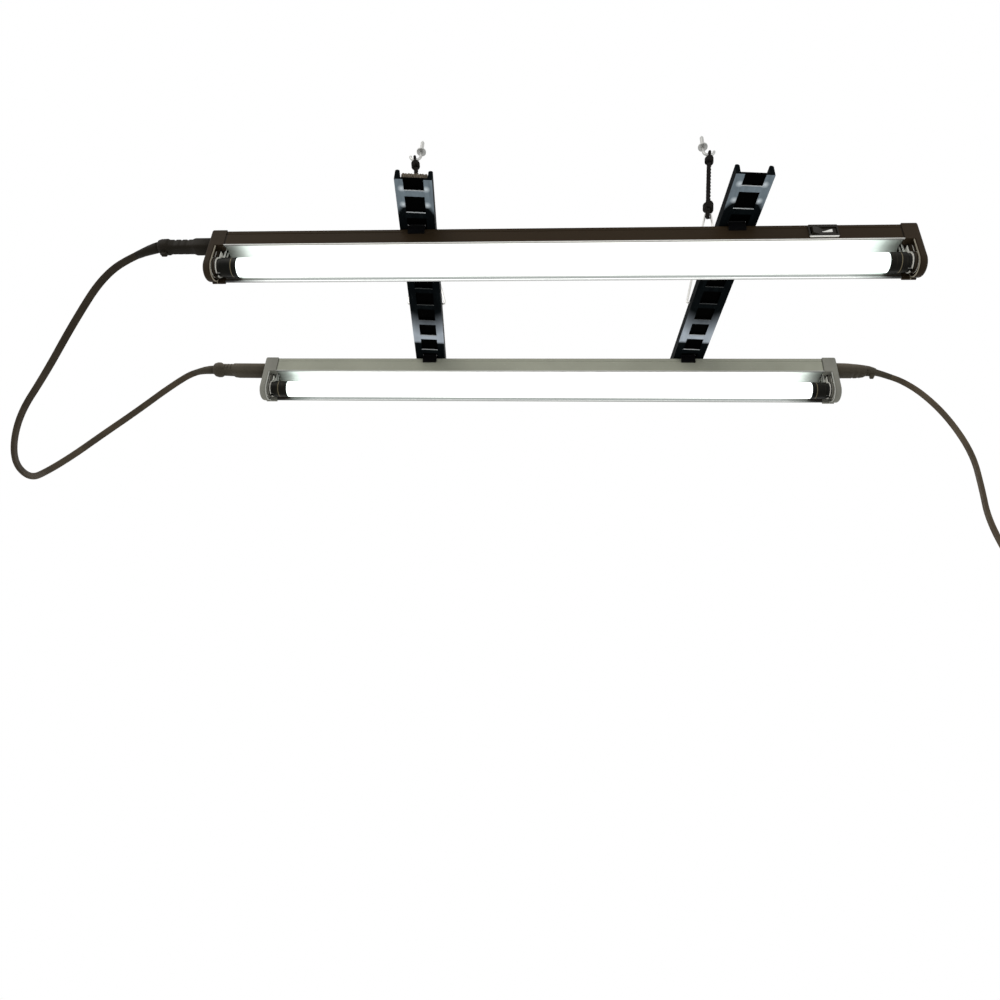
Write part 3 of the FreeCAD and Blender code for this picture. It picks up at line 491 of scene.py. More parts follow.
def plug_moulding(name, colour):
    """Soft moulding of a cord's end, with a painted highlight along its upper side."""
    f = Finish(name)
    x, y, z = f.on_strip("far")
    # Painted highlight: paler towards the top, where light falls from above
    paler_side = f.clamp(z, 6.5, 12.5)
    grained(f, colour, 0.5, 0.08, 1400.0, 1.35, (paler_side * 0.45, (0.21, 0.18, 0.14)))


def flex_jacket(name, near, far):
    """Soft jacket, changing from one colour to another across the strips, with handled patches; a darker near
    colour is painted shade.
    """
    f = Finish(name)
    x, y, z = f.axes()
    across = f.clamp(y, -0.06, 0.09)
    handled = f.noise(45.0, 4.0, 0.65)
    fine = f.noise(1300.0, 2.0, 0.6)
    dark, pale = [f.blend(across, scaled(near, share), scaled(far, share)) for share in (0.75, 1.3)]
    tone = f.blend(f.clamp(handled, 0.35, 0.72), dark, pale)
    f.surface(fine, 0.2, Base_Color=tone, Roughness=fine * 0.14 + 0.48, Specular_IOR_Level=0.08)


def rope_fibre(name, colour):
    """Twisted fibre: dark furrows between hairs and a few pale stray ones."""
    f = Finish(name)
    hairs = f.noise(1100.0, 4.0, 0.75, stretch=(1.0, 1.0, 0.35))
    stray = f.clamp(f.noise(1700.0, 3.0, 0.8), 0.62, 0.7)
    tone = f.layers(
        f.blend(f.clamp(hairs, 0.3, 0.7), scaled(colour, 0.45), scaled(colour, 1.7)),
        (stray * 0.5, scaled(colour, 4.0)))
    f.surface(hairs, 0.7, 0.2, Base_Color=tone, Roughness=hairs * 0.2 + 0.75, Specular_IOR_Level=0.1)


def pale_floor(name):
    """Pale floor that keeps shadows near the object and is the backdrop's white further off."""
    f = Finish(name)
    x, y, z = f.axes()
    tone = f.blend(f.noise(2.0, 2.0), (0.84, 0.84, 0.83), (0.88, 0.88, 0.87))
    near = f.add("ShaderNodeBsdfPrincipled", {"Base Color": tone, "Roughness": 0.8})
    white = f.add("ShaderNodeEmission", {"Color": (1.0, 1.0, 1.0), "Strength": 1.0})
    away = f.clamp((x * x + y * y) ** 0.5, 0.7, 2.2)
    f.close(f.add("ShaderNodeMixShader", {0: away * f.backdrop(), 1: near, 2: white}))


def make_finishes():
    c = colours()
    # The near strip's paint is the housings' white darkened as painted shade; its lip and inside colours are
    # a painted highlight and painted light
    painted_sheet("near_paint", "near", tuple(c.near_paint), (0.8, 0.79, 0.75), (0.84, 0.85, 0.84))
    painted_sheet("far_paint", "far", tuple(c.far_paint), (0.5, 0.5, 0.48), (0.46, 0.47, 0.46))
    for strip in STRIPS:
        white_reflector(strip + "_reflector_paint", strip)
    # The end caps are one white plastic: the near cap's dark brown is painted shade, the far cap's grey a lit
    # copy
    end_cap_plastic("near_cap_plastic", "near", (0.028, 0.019, 0.011), (0.3, 0.27, 0.21))
    end_cap_plastic("far_cap_plastic", "far", (0.235, 0.232, 0.2), (0.5, 0.5, 0.46))
    # The near holder's darker back is painted shade, like the near end caps
    holder_plastic("near_holder_plastic", "near", (0.032, 0.024, 0.016))
    holder_plastic("far_holder_plastic", "far", (0.17, 0.165, 0.14))
    moulded("holder_plastic", (0.3, 0.3, 0.28), 0.4)
    lit_lamp("lamp_glass", tuple(c.lamp_glow))
    lamp_cap_metal("lamp_cap_metal")
    moulded("socket_plastic", (0.02, 0.019, 0.017), 0.45)
    moulded("circuit_board", (0.08, 0.11, 0.04), 0.4, 0.3, 600.0)
    moulded("wire_insulation", (0.5, 0.5, 0.46), 0.4, 0.3)
    drawn_metal("screw_steel", (0.5, 0.49, 0.46), 0.3)
    switch_moulding("switch_plastic", bezel_light)
    switch_moulding("rocker_plastic", rocker_light)
    for side in SIDES:
        black_bar("bar_paint_" + side, side, tuple(c.bar_paint))
    moulded("clip_steel", (0.0035, 0.0035, 0.004), 0.4)
    drawn_metal("bail_wire", (0.8, 0.79, 0.76), 0.2, (1.0, 1.0, 0.08))
    rope_fibre("rope_fibre", tuple(c.rope_fibre))
    rope_fibre("bar_wrap_fibre", (0.12, 0.1, 0.076))
    drawn_metal("hook_steel", (0.55, 0.55, 0.53), 0.3)
    # The near plug is the same plastic as the far one, darkened as painted shade
    moulded("shaded_near_plug_plastic", (0.0145, 0.0115, 0.0075), 0.5, 0.08)
    plug_moulding("plug_plastic", (0.055, 0.047, 0.033))
    # Painted shade: the link cord darkens to half its colour towards the near strip
    flex_jacket("flex_jacket", scaled(c.flex_jacket, 0.5), tuple(c.flex_jacket))
    flex_jacket("mains_jacket", scaled(c.flex_jacket, 1.3), scaled(c.flex_jacket, 1.3))
    moulded("tie_plastic", (0.01, 0.01, 0.01), 0.35)


# Ways to make a mesh

def placed(name, data):
    """An object of its data, at the origin of the scene."""
    obj = bpy.data.objects.new(name, data)
    bpy.context.scene.collection.objects.link(obj)
    return obj


def piece(name, mesh, slot, body, *nodes, smooth=True, material=None):
    """An object at the origin with its finish, riding on its body and standing for its nodes."""
    if smooth:
        for face in mesh.polygons:
            face.use_smooth = True
    obj = placed(name, mesh)
    mesh.materials.clear()
    mesh.materials.append(FINISHES[material or slot])
    if nodes:
        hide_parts(*nodes)
    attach(obj, body)
    return obj


def mesh_of(bm):
    mesh = bpy.data.meshes.new("made")
    bm.to_mesh(mesh)
    bm.free()
    return mesh


def closed(rings, loop=False):
    """A mesh through rings of points, closed at both ends or back to its start."""
    bm = bmesh.new()
    rows = [[bm.verts.new(p) for p in ring] for ring in rings]
    count = len(rings[0])
    pairs = list(zip(rows, rows[1:])) + ([(rows[-1], rows[0])] if loop else [])
    for low, high in pairs:
        for k in range(count):
            bm.faces.new((low[k], low[(k + 1) % count], high[(k + 1) % count], high[k]))
    if not loop:
        bm.faces.new(list(reversed(rows[0])))
        bm.faces.new(rows[-1])
    bmesh.ops.recalc_face_normals(bm, faces=bm.faces)
    return mesh_of(bm)


def joined(meshes):
    """One mesh of several, which are used up."""
    bm = bmesh.new()
    for mesh in meshes:
        bm.from_mesh(mesh)
        bpy.data.meshes.remove(mesh)
    return mesh_of(bm)


def circle(centre, first, second, radius, count):
    """Points round a centre, from the first direction towards the second."""
    turns = [2 * math.pi * k / count for k in range(count)]
    return [centre + (first * math.cos(turn) + second * math.sin(turn)) * radius for turn in turns]


def line_through(points):
    """The smooth line of a route, read from a curve whose control points are the route's."""
    curve = bpy.data.curves.new("route", "CURVE")
    curve.dimensions = "3D"
    spline = curve.splines.new("NURBS")
    spline.points.add(len(points) - 1)
    for point, place in zip(spline.points, points):
        point.co = (*place, 1.0)
    spline.order_u = 3
    spline.use_endpoint_u = True
    spline.resolution_u = 14
    holder = placed("route", curve)
    mesh = bpy.data.meshes.new_from_object(holder)
    line = [v.co.copy() for v in mesh.vertices]
    bpy.data.objects.remove(holder)
    bpy.data.curves.remove(curve)
    bpy.data.meshes.remove(mesh)
    return line


def length_of(line):
    return sum((b - a).length for a, b in zip(line, line[1:]))


def frames_along(line, first_side):
    """A place, direction, side and up for each point, carried along with no twist of their own."""
    out, side = [], Vector(first_side)
    for k, here in enumerate(line):
        ahead = (line[min(k + 1, len(line) - 1)] - line[max(k - 1, 0)]).normalized()
        side = (side - ahead * side.dot(ahead)).normalized()
        out.append((here, ahead, side, ahead.cross(side)))
    return out


def distances_along(line):
    """How far along a line each of its points is."""
    reach = [0.0]
    for a, b in zip(line, line[1:]):
        reach.append(reach[-1] + (b - a).length)
    return reach


def finely(line, step):
    """The line with points no further apart than the step."""
    out = [line[0]]
    for a, b in zip(line, line[1:]):
        parts = max(1, math.ceil((b - a).length / step))
        out += [a.lerp(b, (k + 1) / parts) for k in range(parts)]
    return out


def flat_flex_outline(width, thickness):
    """Two round cores side by side with a groove between them."""
    count, groove, groove_depth = 22, 0.25, 0.3
    core = thickness / 2
    offset = width / 2 - core
    points = []
    for k in range(count):
        turn = 2 * math.pi * k / count
        c, s = math.cos(turn), math.sin(turn)
        waist = 1 - groove_depth * max(0.0, 1 - abs(c) / groove)
        points.append((offset * c / max(abs(c), groove) + core * c, core * s * waist))
    return points


def flex(line, twist):
    """A flat twin flex along a line, turning slowly as it goes."""
    outline = flat_flex_outline(sizes().flex_width, sizes().flex_thickness)
    total, rings = length_of(line), []
    for so_far, (here, ahead, side, up) in zip(distances_along(line), frames_along(line, ALONG_Y)):
        share = so_far / total
        turn = twist * (share - math.sin(2 * math.pi * share) / (2 * math.pi))
        a = side * math.cos(turn) + up * math.sin(turn)
        b = up * math.cos(turn) - side * math.sin(turn)
        rings.append([here + a * u + b * v for u, v in outline])
    return closed(rings)


def strand(line, first_side, away, radius, lay, start):
    """One strand that winds round a line."""
    count, centres = 9, []
    for so_far, (here, ahead, side, up) in zip(distances_along(line), frames_along(line, first_side)):
        turn = start + 2 * math.pi * so_far / lay
        centres.append(here + (side * math.cos(turn) + up * math.sin(turn)) * away)
    return closed([circle(here, side, up, radius, count)
                   for here, ahead, side, up in frames_along(centres, first_side)])


def rope(line, first_side, width, lay):
    """Three strands laid together."""
    strands, away_share, radius_share = 3, 0.21, 0.29
    return joined([strand(line, first_side, width * away_share, width * radius_share, lay,
                          2 * math.pi * k / strands) for k in range(strands)])


def squircle(half_width, half_height, power, count):
    points = []
    for k in range(count):
        c, s = math.cos(2 * math.pi * k / count), math.sin(2 * math.pi * k / count)
        points.append((half_width * math.copysign(abs(c) ** (2 / power), c),
                       half_height * math.copysign(abs(s) ** (2 / power), s)))
    return points


def moulding(line, stations, count=36):
    """A body along a line. A station is (share of the line, half width, half height, squareness, drop)."""
    total, framed = length_of(line), frames_along(line, ALONG_Y)
    reach = [so_far / total for so_far in distances_along(line)]
    rings = []
    for share, half_width, half_height, power, drop in stations:
        k = min(range(len(reach)), key=lambda n: abs(reach[n] - share))
        here, ahead, side, up = framed[k]
        section = squircle(half_width, half_height, power, count)
        rings.append([here + side * u + up * (v - drop) for u, v in section])
    return closed(rings)


def turned(profile, centre, along, count):
    """A body of revolution: (distance along, radius) pairs in millimetres, round an axis from the centre."""
    along = Vector(along).normalized()
    side = along.orthogonal().normalized()
    up = along.cross(side)
    return closed([circle(centre + along * distance * MM, side, up, radius * MM, count)
                   for distance, radius in profile])


class PieceTree:
    """A geometry node tree for one piece. Its named inputs are whole numbers or floats."""

    def __init__(self, name, **given):
        self.name, self.given = name, {}
        self.tree = bpy.data.node_groups.new(name, "GeometryNodeTree")
        face = self.tree.interface
        for key, value in given.items():
            kind = "NodeSocketInt" if isinstance(value, int) else "NodeSocketFloat"
            self.given[face.new_socket(key, in_out="INPUT", socket_type=kind).identifier] = value
        face.new_socket("Geometry", in_out="OUTPUT", socket_type="NodeSocketGeometry")
        self.inputs = self.tree.nodes.new("NodeGroupInput").outputs

    def add(self, kind, inputs):
        """The first output of a node whose inputs are values or other nodes' outputs."""
        node = self.tree.nodes.new(kind)
        for key, value in inputs.items():
            if isinstance(value, bpy.types.NodeSocket):
                self.tree.links.new(value, node.inputs[key])
            else:
                node.inputs[key].default_value = value
        return node.outputs[0]

    def circle(self, count, radius):
        return self.add("GeometryNodeCurvePrimitiveCircle", {"Resolution": count, "Radius": radius})

    def piece(self, geometry, slot, body, *nodes):
        """The tree's result in its finish, as a plain mesh on its body."""
        real = self.add("GeometryNodeRealizeInstances", {"Geometry": geometry})
        painted = self.add("GeometryNodeSetMaterial", {"Geometry": real, "Material": FINISHES[slot]})
        self.tree.links.new(painted, self.tree.nodes.new("NodeGroupOutput").inputs[0])
        holder = placed("holder", bpy.data.meshes.new("holder"))
        modifier = holder.modifiers.new("tree", "NODES")
        modifier.node_group = self.tree
        for key, value in self.given.items():
            modifier[key] = value
        depsgraph = bpy.context.evaluated_depsgraph_get()
        mesh = bpy.data.meshes.new_from_object(holder.evaluated_get(depsgraph))
        bpy.data.objects.remove(holder)
        return piece(self.name, mesh, slot, body, *nodes)


# Plugs and sleeves: (distance, half width, half height), with squareness and drop for plugs, in millimetres

LINK_SLEEVE = [(0, 4.3, 4.2), (4, 4.25, 4.1), (9, 4.0, 3.6), (16, 3.55, 2.7), (22, 3.3, 2.1)]
MAINS_SLEEVE = [(0, 5.3, 5.0), (3, 5.1, 4.7), (6, 4.6, 4.2), (8.6, 4.1, 3.6), (9.6, 3.6, 2.7),
                (16, 3.45, 2.3), (24, 3.3, 2.1)]


def near_plug_grooves():
    """Three ring grooves round the near plug's waist."""
    waist, floor = (5.2, 4.9, 4, 0), (5.0, 4.6, 4, -0.3)
    stations = []
    for start in (20.5, 26.0, 31.5):
        stations += [(start, *waist), (start + 0.5, *floor), (start + 1.9, *floor), (start + 2.4, *waist)]
    return stations


NEAR_PLUG = [(0.3, 5.6, 5.3, 4.5, 0), (0.9, 6.0, 5.7, 4.2, 0), (14.8, 6.0, 5.7, 4.2, 0),
             (16.2, 5.8, 5.5, 4, 0), (17.6, 5.2, 4.9, 4, 0), *near_plug_grooves(), (37.4, 5.3, 5.0, 3.4, 0),
             (38.2, 6.0, 5.9, 2.6, 0), (39.4, 6.5, 6.4, 2.3, 0), (44.5, 6.4, 6.3, 2.2, 0),
             (46.6, 5.8, 5.7, 2.1, 0), (47.7, 4.9, 4.8, 2, 0), (NEAR_PLUG_LENGTH, 4.3, 4.2, 2, 0)]
FAR_PLUG = [(0.3, 6.1, 5.8, 4.5, -1.2), (0.9, 6.5, 6.2, 4.2, -1.2), (30, 6.5, 6.2, 4.2, -1),
            (34, 6.3, 6.1, 3.8, -0.6), (35.5, 5.6, 5.4, 3.6, -0.4), (46.6, 5.6, 5.4, 3, 0),
            (47.4, 6.6, 6.5, 2.4, 0), (48.8, 7.5, 7.4, 2.2, 0), (52, 7.7, 7.6, 2.1, 0),
            (54.5, 7.0, 6.9, 2, 0), (56.2, 5.7, 5.6, 2, 0), (FAR_PLUG_LENGTH, 4.4, 4.3, 2, 0)]
CONNECTOR = [(0.3, 6.1, 5.8, 4.5, 0), (0.9, 6.5, 6.2, 4.2, 0), (9, 6.4, 6.1, 4.2, 0), (14, 6.3, 6.0, 4, 0.2),
             (17, 6.2, 5.9, 4, 0.4), (17.4, 6.0, 5.6, 4, 0.2), (18.6, 6.0, 5.6, 4, 0.2),
             (19, 6.1, 5.8, 4, 0.5), (22, 6.0, 5.7, 3.8, 0.6), (22.4, 5.8, 5.4, 3.8, 0.4),
             (23.6, 5.8, 5.4, 3.8, 0.4), (24, 5.9, 5.6, 3.6, 0.7), (28, 5.6, 5.3, 3, 0.6),
             (CONNECTOR_LENGTH, 5.3, 5.0, 2.4, 0.2)]
NOSE_LENGTH, NOSE_OUT = 10, 9
PLUG_NOSE = [(0.0, 2.9, 2.4, 5, 0), (0.5, 3.15, 2.65, 6, 0), (NOSE_LENGTH, 3.15, 2.65, 6, 0)]

# A fin: its start from the plug's face, its length, and its top and foot below the plug's axis
NEAR_FIN = (39, 6, 5.6, 10.4)
CONNECTOR_FIN = (33, 4.6, 3.6, 9.4)

# The mains plug by shares of its length, and its pins
MAINS_PLUG = [(0.0, 3.9, 3.9, 2, 0), (0.06, 4.05, 4.05, 2, 0), (0.3, 4.6, 4.4, 2.2, 0),
              (0.36, 9, 6.5, 2.6, 0), (0.42, 12.2, 8.4, 3.2, 0), (0.6, 12.9, 8.9, 3.6, 0),
              (0.9, 12.9, 8.9, 3.8, 0), (0.985, 12.7, 8.7, 4, 0), (1.0, 12.1, 8.2, 4, 0)]
MAINS_PIN = [(-0.5, 2), (17.8, 2), (18.6, 1.6), (18.95, 0.8)]
MAINS_PIN_ASIDE = 9.3


def stations_of(profile, length):
    return [(d / length, u * MM, v * MM, power, drop * MM) for d, u, v, power, drop in profile]


def along_x(start, length, sign):
    count = 120
    return [start + Vector((sign * length * k / count, 0, 0)) for k in range(count + 1)]


def fin_mesh(face, sign, fin):
    """The flat fin under a plug's collar."""
    start, reach, top, foot = fin
    half = (foot - top) * MM / 2
    blade = [(0.0, 1.3 * MM, half * 0.9, 3, half), (0.12, 1.5 * MM, half, 4, half),
             (0.7, 1.5 * MM, half, 4, half), (1.0, 1.3 * MM, half * 0.6, 3, half * 0.6)]
    if sign < 0:
        blade = [(share, u, v, power, -drop) for share, u, v, power, drop in blade]
    return moulding(along_x(face + Vector((sign * start, 0, -top)) * MM, reach * MM, sign), blade)


def plug_mesh(face, sign, length, profile, fin=None):
    """A plug's body along X from its face, its nose in the outlet and the fin under its collar."""
    body = moulding(along_x(face, length * MM, sign), stations_of(profile, length), 44)
    nose_start = face - Vector((sign * NOSE_OUT * MM, 0, 0))
    nose = moulding(along_x(nose_start, NOSE_LENGTH * MM, sign), stations_of(PLUG_NOSE, NOSE_LENGTH))
    return joined([body, nose] + ([fin_mesh(face, sign, fin)] if fin else []))


def sleeve(line, profile):
    """A tapered sleeve round the start of a cord."""
    squareness, length, cut, so_far = 2.2, profile[-1][0] * MM, [line[0]], 0.0
    for a, b in zip(line, line[1:]):
        so_far += (b - a).length
        cut.append(b)
        if so_far > length:
            break
    stations = [(d * MM / length, u * MM, v * MM, squareness, 0.0) for d, u, v in profile]
    return moulding(finely(cut, 0.5 * MM), stations, 28)


def make_ribs(name, start, pitch, count, slot, body):
    """Grip ribs set out by a node tree: one rounded band, repeated along the plug."""
    half_height, half_width = 5.5 * MM, 5.7 * MM
    t = PieceTree(name, Pitch=pitch, Count=count)
    upright = t.add("GeometryNodeTransform", {
        "Geometry": t.circle(40, 1.0), "Rotation": (0.0, math.pi / 2, 0.0),
        "Scale": (half_height, half_width, 1.0)})
    rib = t.add("GeometryNodeCurveToMesh", {"Curve": upright, "Profile Curve": t.circle(10, RIB_BAND * MM)})
    step = t.add("ShaderNodeCombineXYZ", {"X": t.inputs["Pitch"]})
    row = t.add("GeometryNodeMeshLine", {"Count": t.inputs["Count"], "Start Location": start, "Offset": step})
    return t.piece(t.add("GeometryNodeInstanceOnPoints", {"Points": row, "Instance": rib}), slot, body)


# Cords

def millimetres(points, start):
    return [start + Vector(p) * MM for p in points]


def link_line():
    return line_through(millimetres(LINK_ROUTE, NEAR_PLUG_BACK) + millimetres(LINK_ROUTE_END, FAR_PLUG_BACK))


def coil_points(start):
    """Control points of the coiled rest of the mains cord, a little outside its turns.

    One layer winds in, half a turn climbs to the next layer, and that one winds out again.
    """
    step = math.pi / COIL_STEPS
    outside = 1 / math.cos(step / 2)
    inwards = list(range(COIL_HALF_TURNS + 1))
    points, way, x = [], -1, start.x
    here = start + Vector((0, -COIL_LEAD * MM, 0))
    for turn in inwards + inwards[-2:0:-1] + [0]:
        radius = (COIL_OUTER - COIL_PITCH / 2 * turn) * MM
        climb = COIL_PITCH * MM if turn == COIL_HALF_TURNS else 0.0
        centre = here + Vector((0, 0, way * radius))
        is_last = turn == 0 and len(points) > 0
        for k in range(COIL_STEPS // 2 if is_last else COIL_STEPS):
            angle = step * (k + 0.5)
            y = centre.y + way * math.sin(angle) * radius * outside
            z = centre.z - way * math.cos(angle) * radius * outside
            points.append(Vector((x + climb * (k + 0.5) / COIL_STEPS, y, z)))
        end = Vector((x, centre.y + way * radius, centre.z))
        x += climb
        here = here + Vector((0, 0, 2 * way * radius))
        way = -way
    return points + [end + Vector((0, 0, -down * MM)) for down in (5, COIL_TAIL)]


def mains_points():
    free = millimetres(MAINS_ROUTE, CONNECTOR_BACK)
    return free + coil_points(free[-1])


def mains_plug_pieces(tip):
    """The mains plug's body and its two pins, hanging from the cord's tip."""
    foot = Vector((tip.x, tip.y, tip.z - MAINS_PLUG_LENGTH * MM))
    line = [tip + (foot - tip) * (k / 60) for k in range(61)]
    body = piece("mains_plug_body", moulding(line, stations_of(MAINS_PLUG, 1)), "plug_plastic", "luminaire",
                 "mains_plug")
    pins = [turned(MAINS_PIN, foot + Vector((0, aside * MAINS_PIN_ASIDE * MM, 0)), (0, 0, -1), 24)
            for aside in (-1, 1)]
    return [body, piece("mains_plug_pins", joined(pins), "plug_plastic", "luminaire", material="screw_steel")]


def coil_tie():
    """A flat band round the coil's turns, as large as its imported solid."""
    low, high = [Vector(corner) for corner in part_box("coil_tie")]
    middle, half = (low + high) / 2, (high - low) / 2
    wall, squareness, count, edge_share = TIE_WALL * MM, 6, 48, 0.9
    outer = squircle(half.x, half.y, squareness, count)
    inner = squircle(half.x - wall, half.y - wall, squareness, count)
    edge = half.z * edge_share
    rings = [[middle + Vector(p) for p in ((u, v, -edge), (u, v, edge), (a, b, half.z), (a, b, -half.z))]
             for (u, v), (a, b) in zip(outer, inner)]
    return piece("coil_tie_band", closed(rings, loop=True), "tie_plastic", "luminaire", "coil_tie",
                 smooth=False)


class STRIPLIGHT_OT_cords(bpy.types.Operator):
    """Make the link cord, the mains cord and the pieces on them"""
    bl_idname = "striplight.cords"
    bl_label = "Cords and plugs"

    def execute(self, context):
        s = sizes()
        line = finely(link_line(), CORD_STEP)
        near_body = plug_mesh(STRIP_AT["near"] + OUTLET_LEFT, -1, NEAR_PLUG_LENGTH, NEAR_PLUG, NEAR_FIN)
        near_plug = piece("near_link_plug_body", joined([near_body, sleeve(line, LINK_SLEEVE)]),
                          "plug_plastic", "luminaire", "link_plug_near", material="shaded_near_plug_plastic")
        far_body = plug_mesh(STRIP_AT["far"] + OUTLET_LEFT, -1, FAR_PLUG_LENGTH, FAR_PLUG)
        far_sleeve = sleeve(list(reversed(line)), LINK_SLEEVE)
        far_plug = piece("far_link_plug_body", joined([far_body, far_sleeve]), "plug_plastic", "luminaire",
                         "link_plug_far")
        first_rib = FAR_PLUG_BACK + Vector((12.2 * MM, 0, 0))
        far_ribs = make_ribs("far_link_plug_ribs", first_rib, 3.6 * MM, 3, "plug_plastic", "luminaire")
        cord = piece("link_cord_flex", flex(line, s.flex_twist), "flex_jacket", "luminaire", "link_cord")
        [tuple(p) for p in line]

        mains = finely(line_through(mains_points()), CORD_STEP)
        body = plug_mesh(STRIP_AT["far"] + OUTLET_RIGHT, 1, CONNECTOR_LENGTH, CONNECTOR, CONNECTOR_FIN)
        connector = piece("mains_connector_body", joined([body, sleeve(mains, MAINS_SLEEVE)]), "plug_plastic",
                          "luminaire", "mains_connector")
        plug, plug_pins = mains_plug_pieces(mains[-1])
        tie = coil_tie()
        lead = piece("mains_cord_flex", flex(mains, 0.0), "flex_jacket", "luminaire", "mains_cord",
                     "mains_cord_coil", material="mains_jacket")
        round(length_of(mains), 2)
        [tuple(p) for p in mains]
        return {"FINISHED"}


# Suspension

def lean_of(side):
    """The direction of a suspension line and its foot between the bail's feet."""
    foot = Vector((BAR_MID[side], 0, PIVOT_Z))
    return (BOWL[side] - foot).normalized(), foot


def on_line(side, height):
    direction, foot = lean_of(side)
    return foot + direction * ((height - PIVOT_Z) / direction.z)


def knot_wraps(name, centre, direction, length, radius, *stands_for):
    """Wraps of a knot: a spiral swept by a round section, leaned along the rope, from a node tree."""
    t = PieceTree(name, Turns=sizes().knot_wraps, Radius=radius)
    radius_in = t.inputs["Radius"]
    spiral = t.add("GeometryNodeCurveSpiral", {
        "Resolution": 40, "Height": length, "Rotations": t.inputs["Turns"], "Start Radius": radius_in,
        "End Radius": radius_in})
    swept = t.add("GeometryNodeCurveToMesh", {
        "Curve": spiral, "Profile Curve": t.circle(14, KNOT_ROPE * MM), "Fill Caps": True})
    leaned = t.add("GeometryNodeTransform", {
        "Geometry": swept, "Rotation": direction.to_track_quat("Z", "Y").to_euler(),
        "Translation": centre - direction * (length / 2)})
    return t.piece(leaned, "rope_fibre", "suspension", *stands_for)


def rope_loop(name, eye, direction):
    """The rope's loop on the bail or the hook, in the plane of the rope and the Y axis."""
    across = direction.cross(ALONG_Y).normalized()
    rings = [circle(point, (point - eye).normalized(), across, LOOP_ROPE * MM, 10)
             for point in circle(eye, direction, ALONG_Y, LOOP_RADIUS * MM, 40)]
    return piece(name, closed(rings, loop=True), "rope_fibre", "suspension")


class STRIPLIGHT_OT_suspension(bpy.types.Operator):
    """Make the suspension ropes with their loops, knots and tails"""
    bl_idname = "striplight.suspension"
    bl_label = "Ropes and knots"

    def execute(self, context):
        s = sizes()
        for side in SIDES:
            direction = lean_of(side)[0]
            low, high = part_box(f"suspension_cord_{side}")
            bottom, top = on_line(side, low[2]), on_line(side, high[2])
            span = [bottom.lerp(top, share) for share in (0.0, 0.12, 0.5, 0.88, 1.0)]
            line = finely(line_through(span), ROPE_STEP)
            piece(f"suspension_rope_{side}", rope(line, ALONG_Y, s.rope_width, s.rope_lay), "rope_fibre",
                  "suspension", f"suspension_cord_{side}")
            lower_eye = bottom.z - 14.8 * MM
            upper_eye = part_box(f"upper_knot_{side}")[1][2] - 5.4 * MM
            for level, radius, length, start, way, eye in (
                    ("lower", 3.4 * MM, 8.2 * MM, bottom, -1, lower_eye),
                    ("upper", 2.7 * MM, 6.2 * MM, top, 1, upper_eye)):
                middle = start + direction * way * (length / 2 + KNOT_ROPE * MM)
                knot_wraps(f"{level}_knot_wraps_{side}", middle, direction, length, radius,
                           f"{level}_knot_{side}")
                rope_loop(f"{level}_loop_{side}", on_line(side, eye), direction)
            tail_top = bottom + Vector((-3.6 * MM, -2.6 * MM, -7 * MM))
            tail = [tail_top] + millimetres([(-0.6, -0.8, -5), (0.4, -1.2, -12), (1.2, -0.6, -18)], tail_top)
            tail_line = finely(line_through(tail), ROPE_STEP)
            piece(f"rope_tail_{side}", rope(tail_line, ALONG_Y, TAIL_WIDTH * MM, s.rope_lay), "rope_fibre",
                  "suspension")
        return {"FINISHED"}


# Strips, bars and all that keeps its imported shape

KEPT = {
    "strips": [f"{strip}_{part}" for strip in STRIPS for part in (
        "shell", "reflector", "ballast", "wires", "end_cap_left", "end_cap_right", "holder_left",
        "holder_right", "rotor_left", "rotor_right", "socket_left", "socket_right")] + ["holder_screws"],
    "lamps": [f"{strip}_{part}" for strip in STRIPS for part in (
        "lamp_glass", "lamp_cap_left", "lamp_cap_right")],
    "switch": ["switch_body", "rocker"],
    "bars": [f"{name}_{side}" for side in SIDES for name in ("bar", "clip_near", "clip_far")],
    "hardware": [f"{name}_{side}" for side in SIDES for name in ("bail", "ceiling_hook")],
}


def keep(group):
    """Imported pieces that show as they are, each in its own finish."""
    slots = {entry["node"]: entry["material_slot"] for entry in frame["record"]["subparts"]}
    for name in KEPT[group]:
        words = name.split("_")
        part = words[1 if group == "strips" else 0]
        own = {"holder": words[0] + "_holder_plastic", "reflector": words[0] + "_reflector_paint",
               "bar": "bar_paint_" + words[-1]}
        mesh = NODES[name].data
        mesh.materials.clear()
        mesh.materials.append(FINISHES[own.get(part, slots[name])])


class STRIPLIGHT_OT_strips(bpy.types.Operator):
    """Finish both strips' housings, reflectors, end caps and what they hold"""
    bl_idname = "striplight.strips"
    bl_label = "Strips"

    def execute(self, context):
        keep("strips")
        return {"FINISHED"}


class STRIPLIGHT_OT_lamps(bpy.types.Operator):
    """Finish both lamps"""
    bl_idname = "striplight.lamps"
    bl_label = "Lamps"

    def execute(self, context):
        keep("lamps")
        return {"FINISHED"}


class STRIPLIGHT_OT_switch(bpy.types.Operator):
    """Finish the rocker switch"""
    bl_idname = "striplight.switch"
    bl_label = "Switch"

    def execute(self, context):
        keep("switch")
        return {"FINISHED"}


def wrap_line(side):
    """A short cord wound up between a bar's ears, above its near end."""
    turns, steps, span = 9, 12, 20
    along, above, reach_along, reach_up = -132.8, 9.6, 2.7, 3.1
    c, s = math.cos(BAR_SKEW), math.sin(BAR_SKEW)
    origin = Vector((BAR_MID[side], -HANG_BACK, BAR_Z))
    points = []
    for k in range(turns * steps + 1):
        turn = 2 * math.pi * k / steps
        u = span * k / (turns * steps) - span / 2
        v, w = along + reach_along * math.cos(turn), above + reach_up * math.sin(turn)
        points.append(origin + Vector((u * c - v * s, v * c + u * s, w)) * MM)
    return finely(line_through(points), 0.6 * MM)


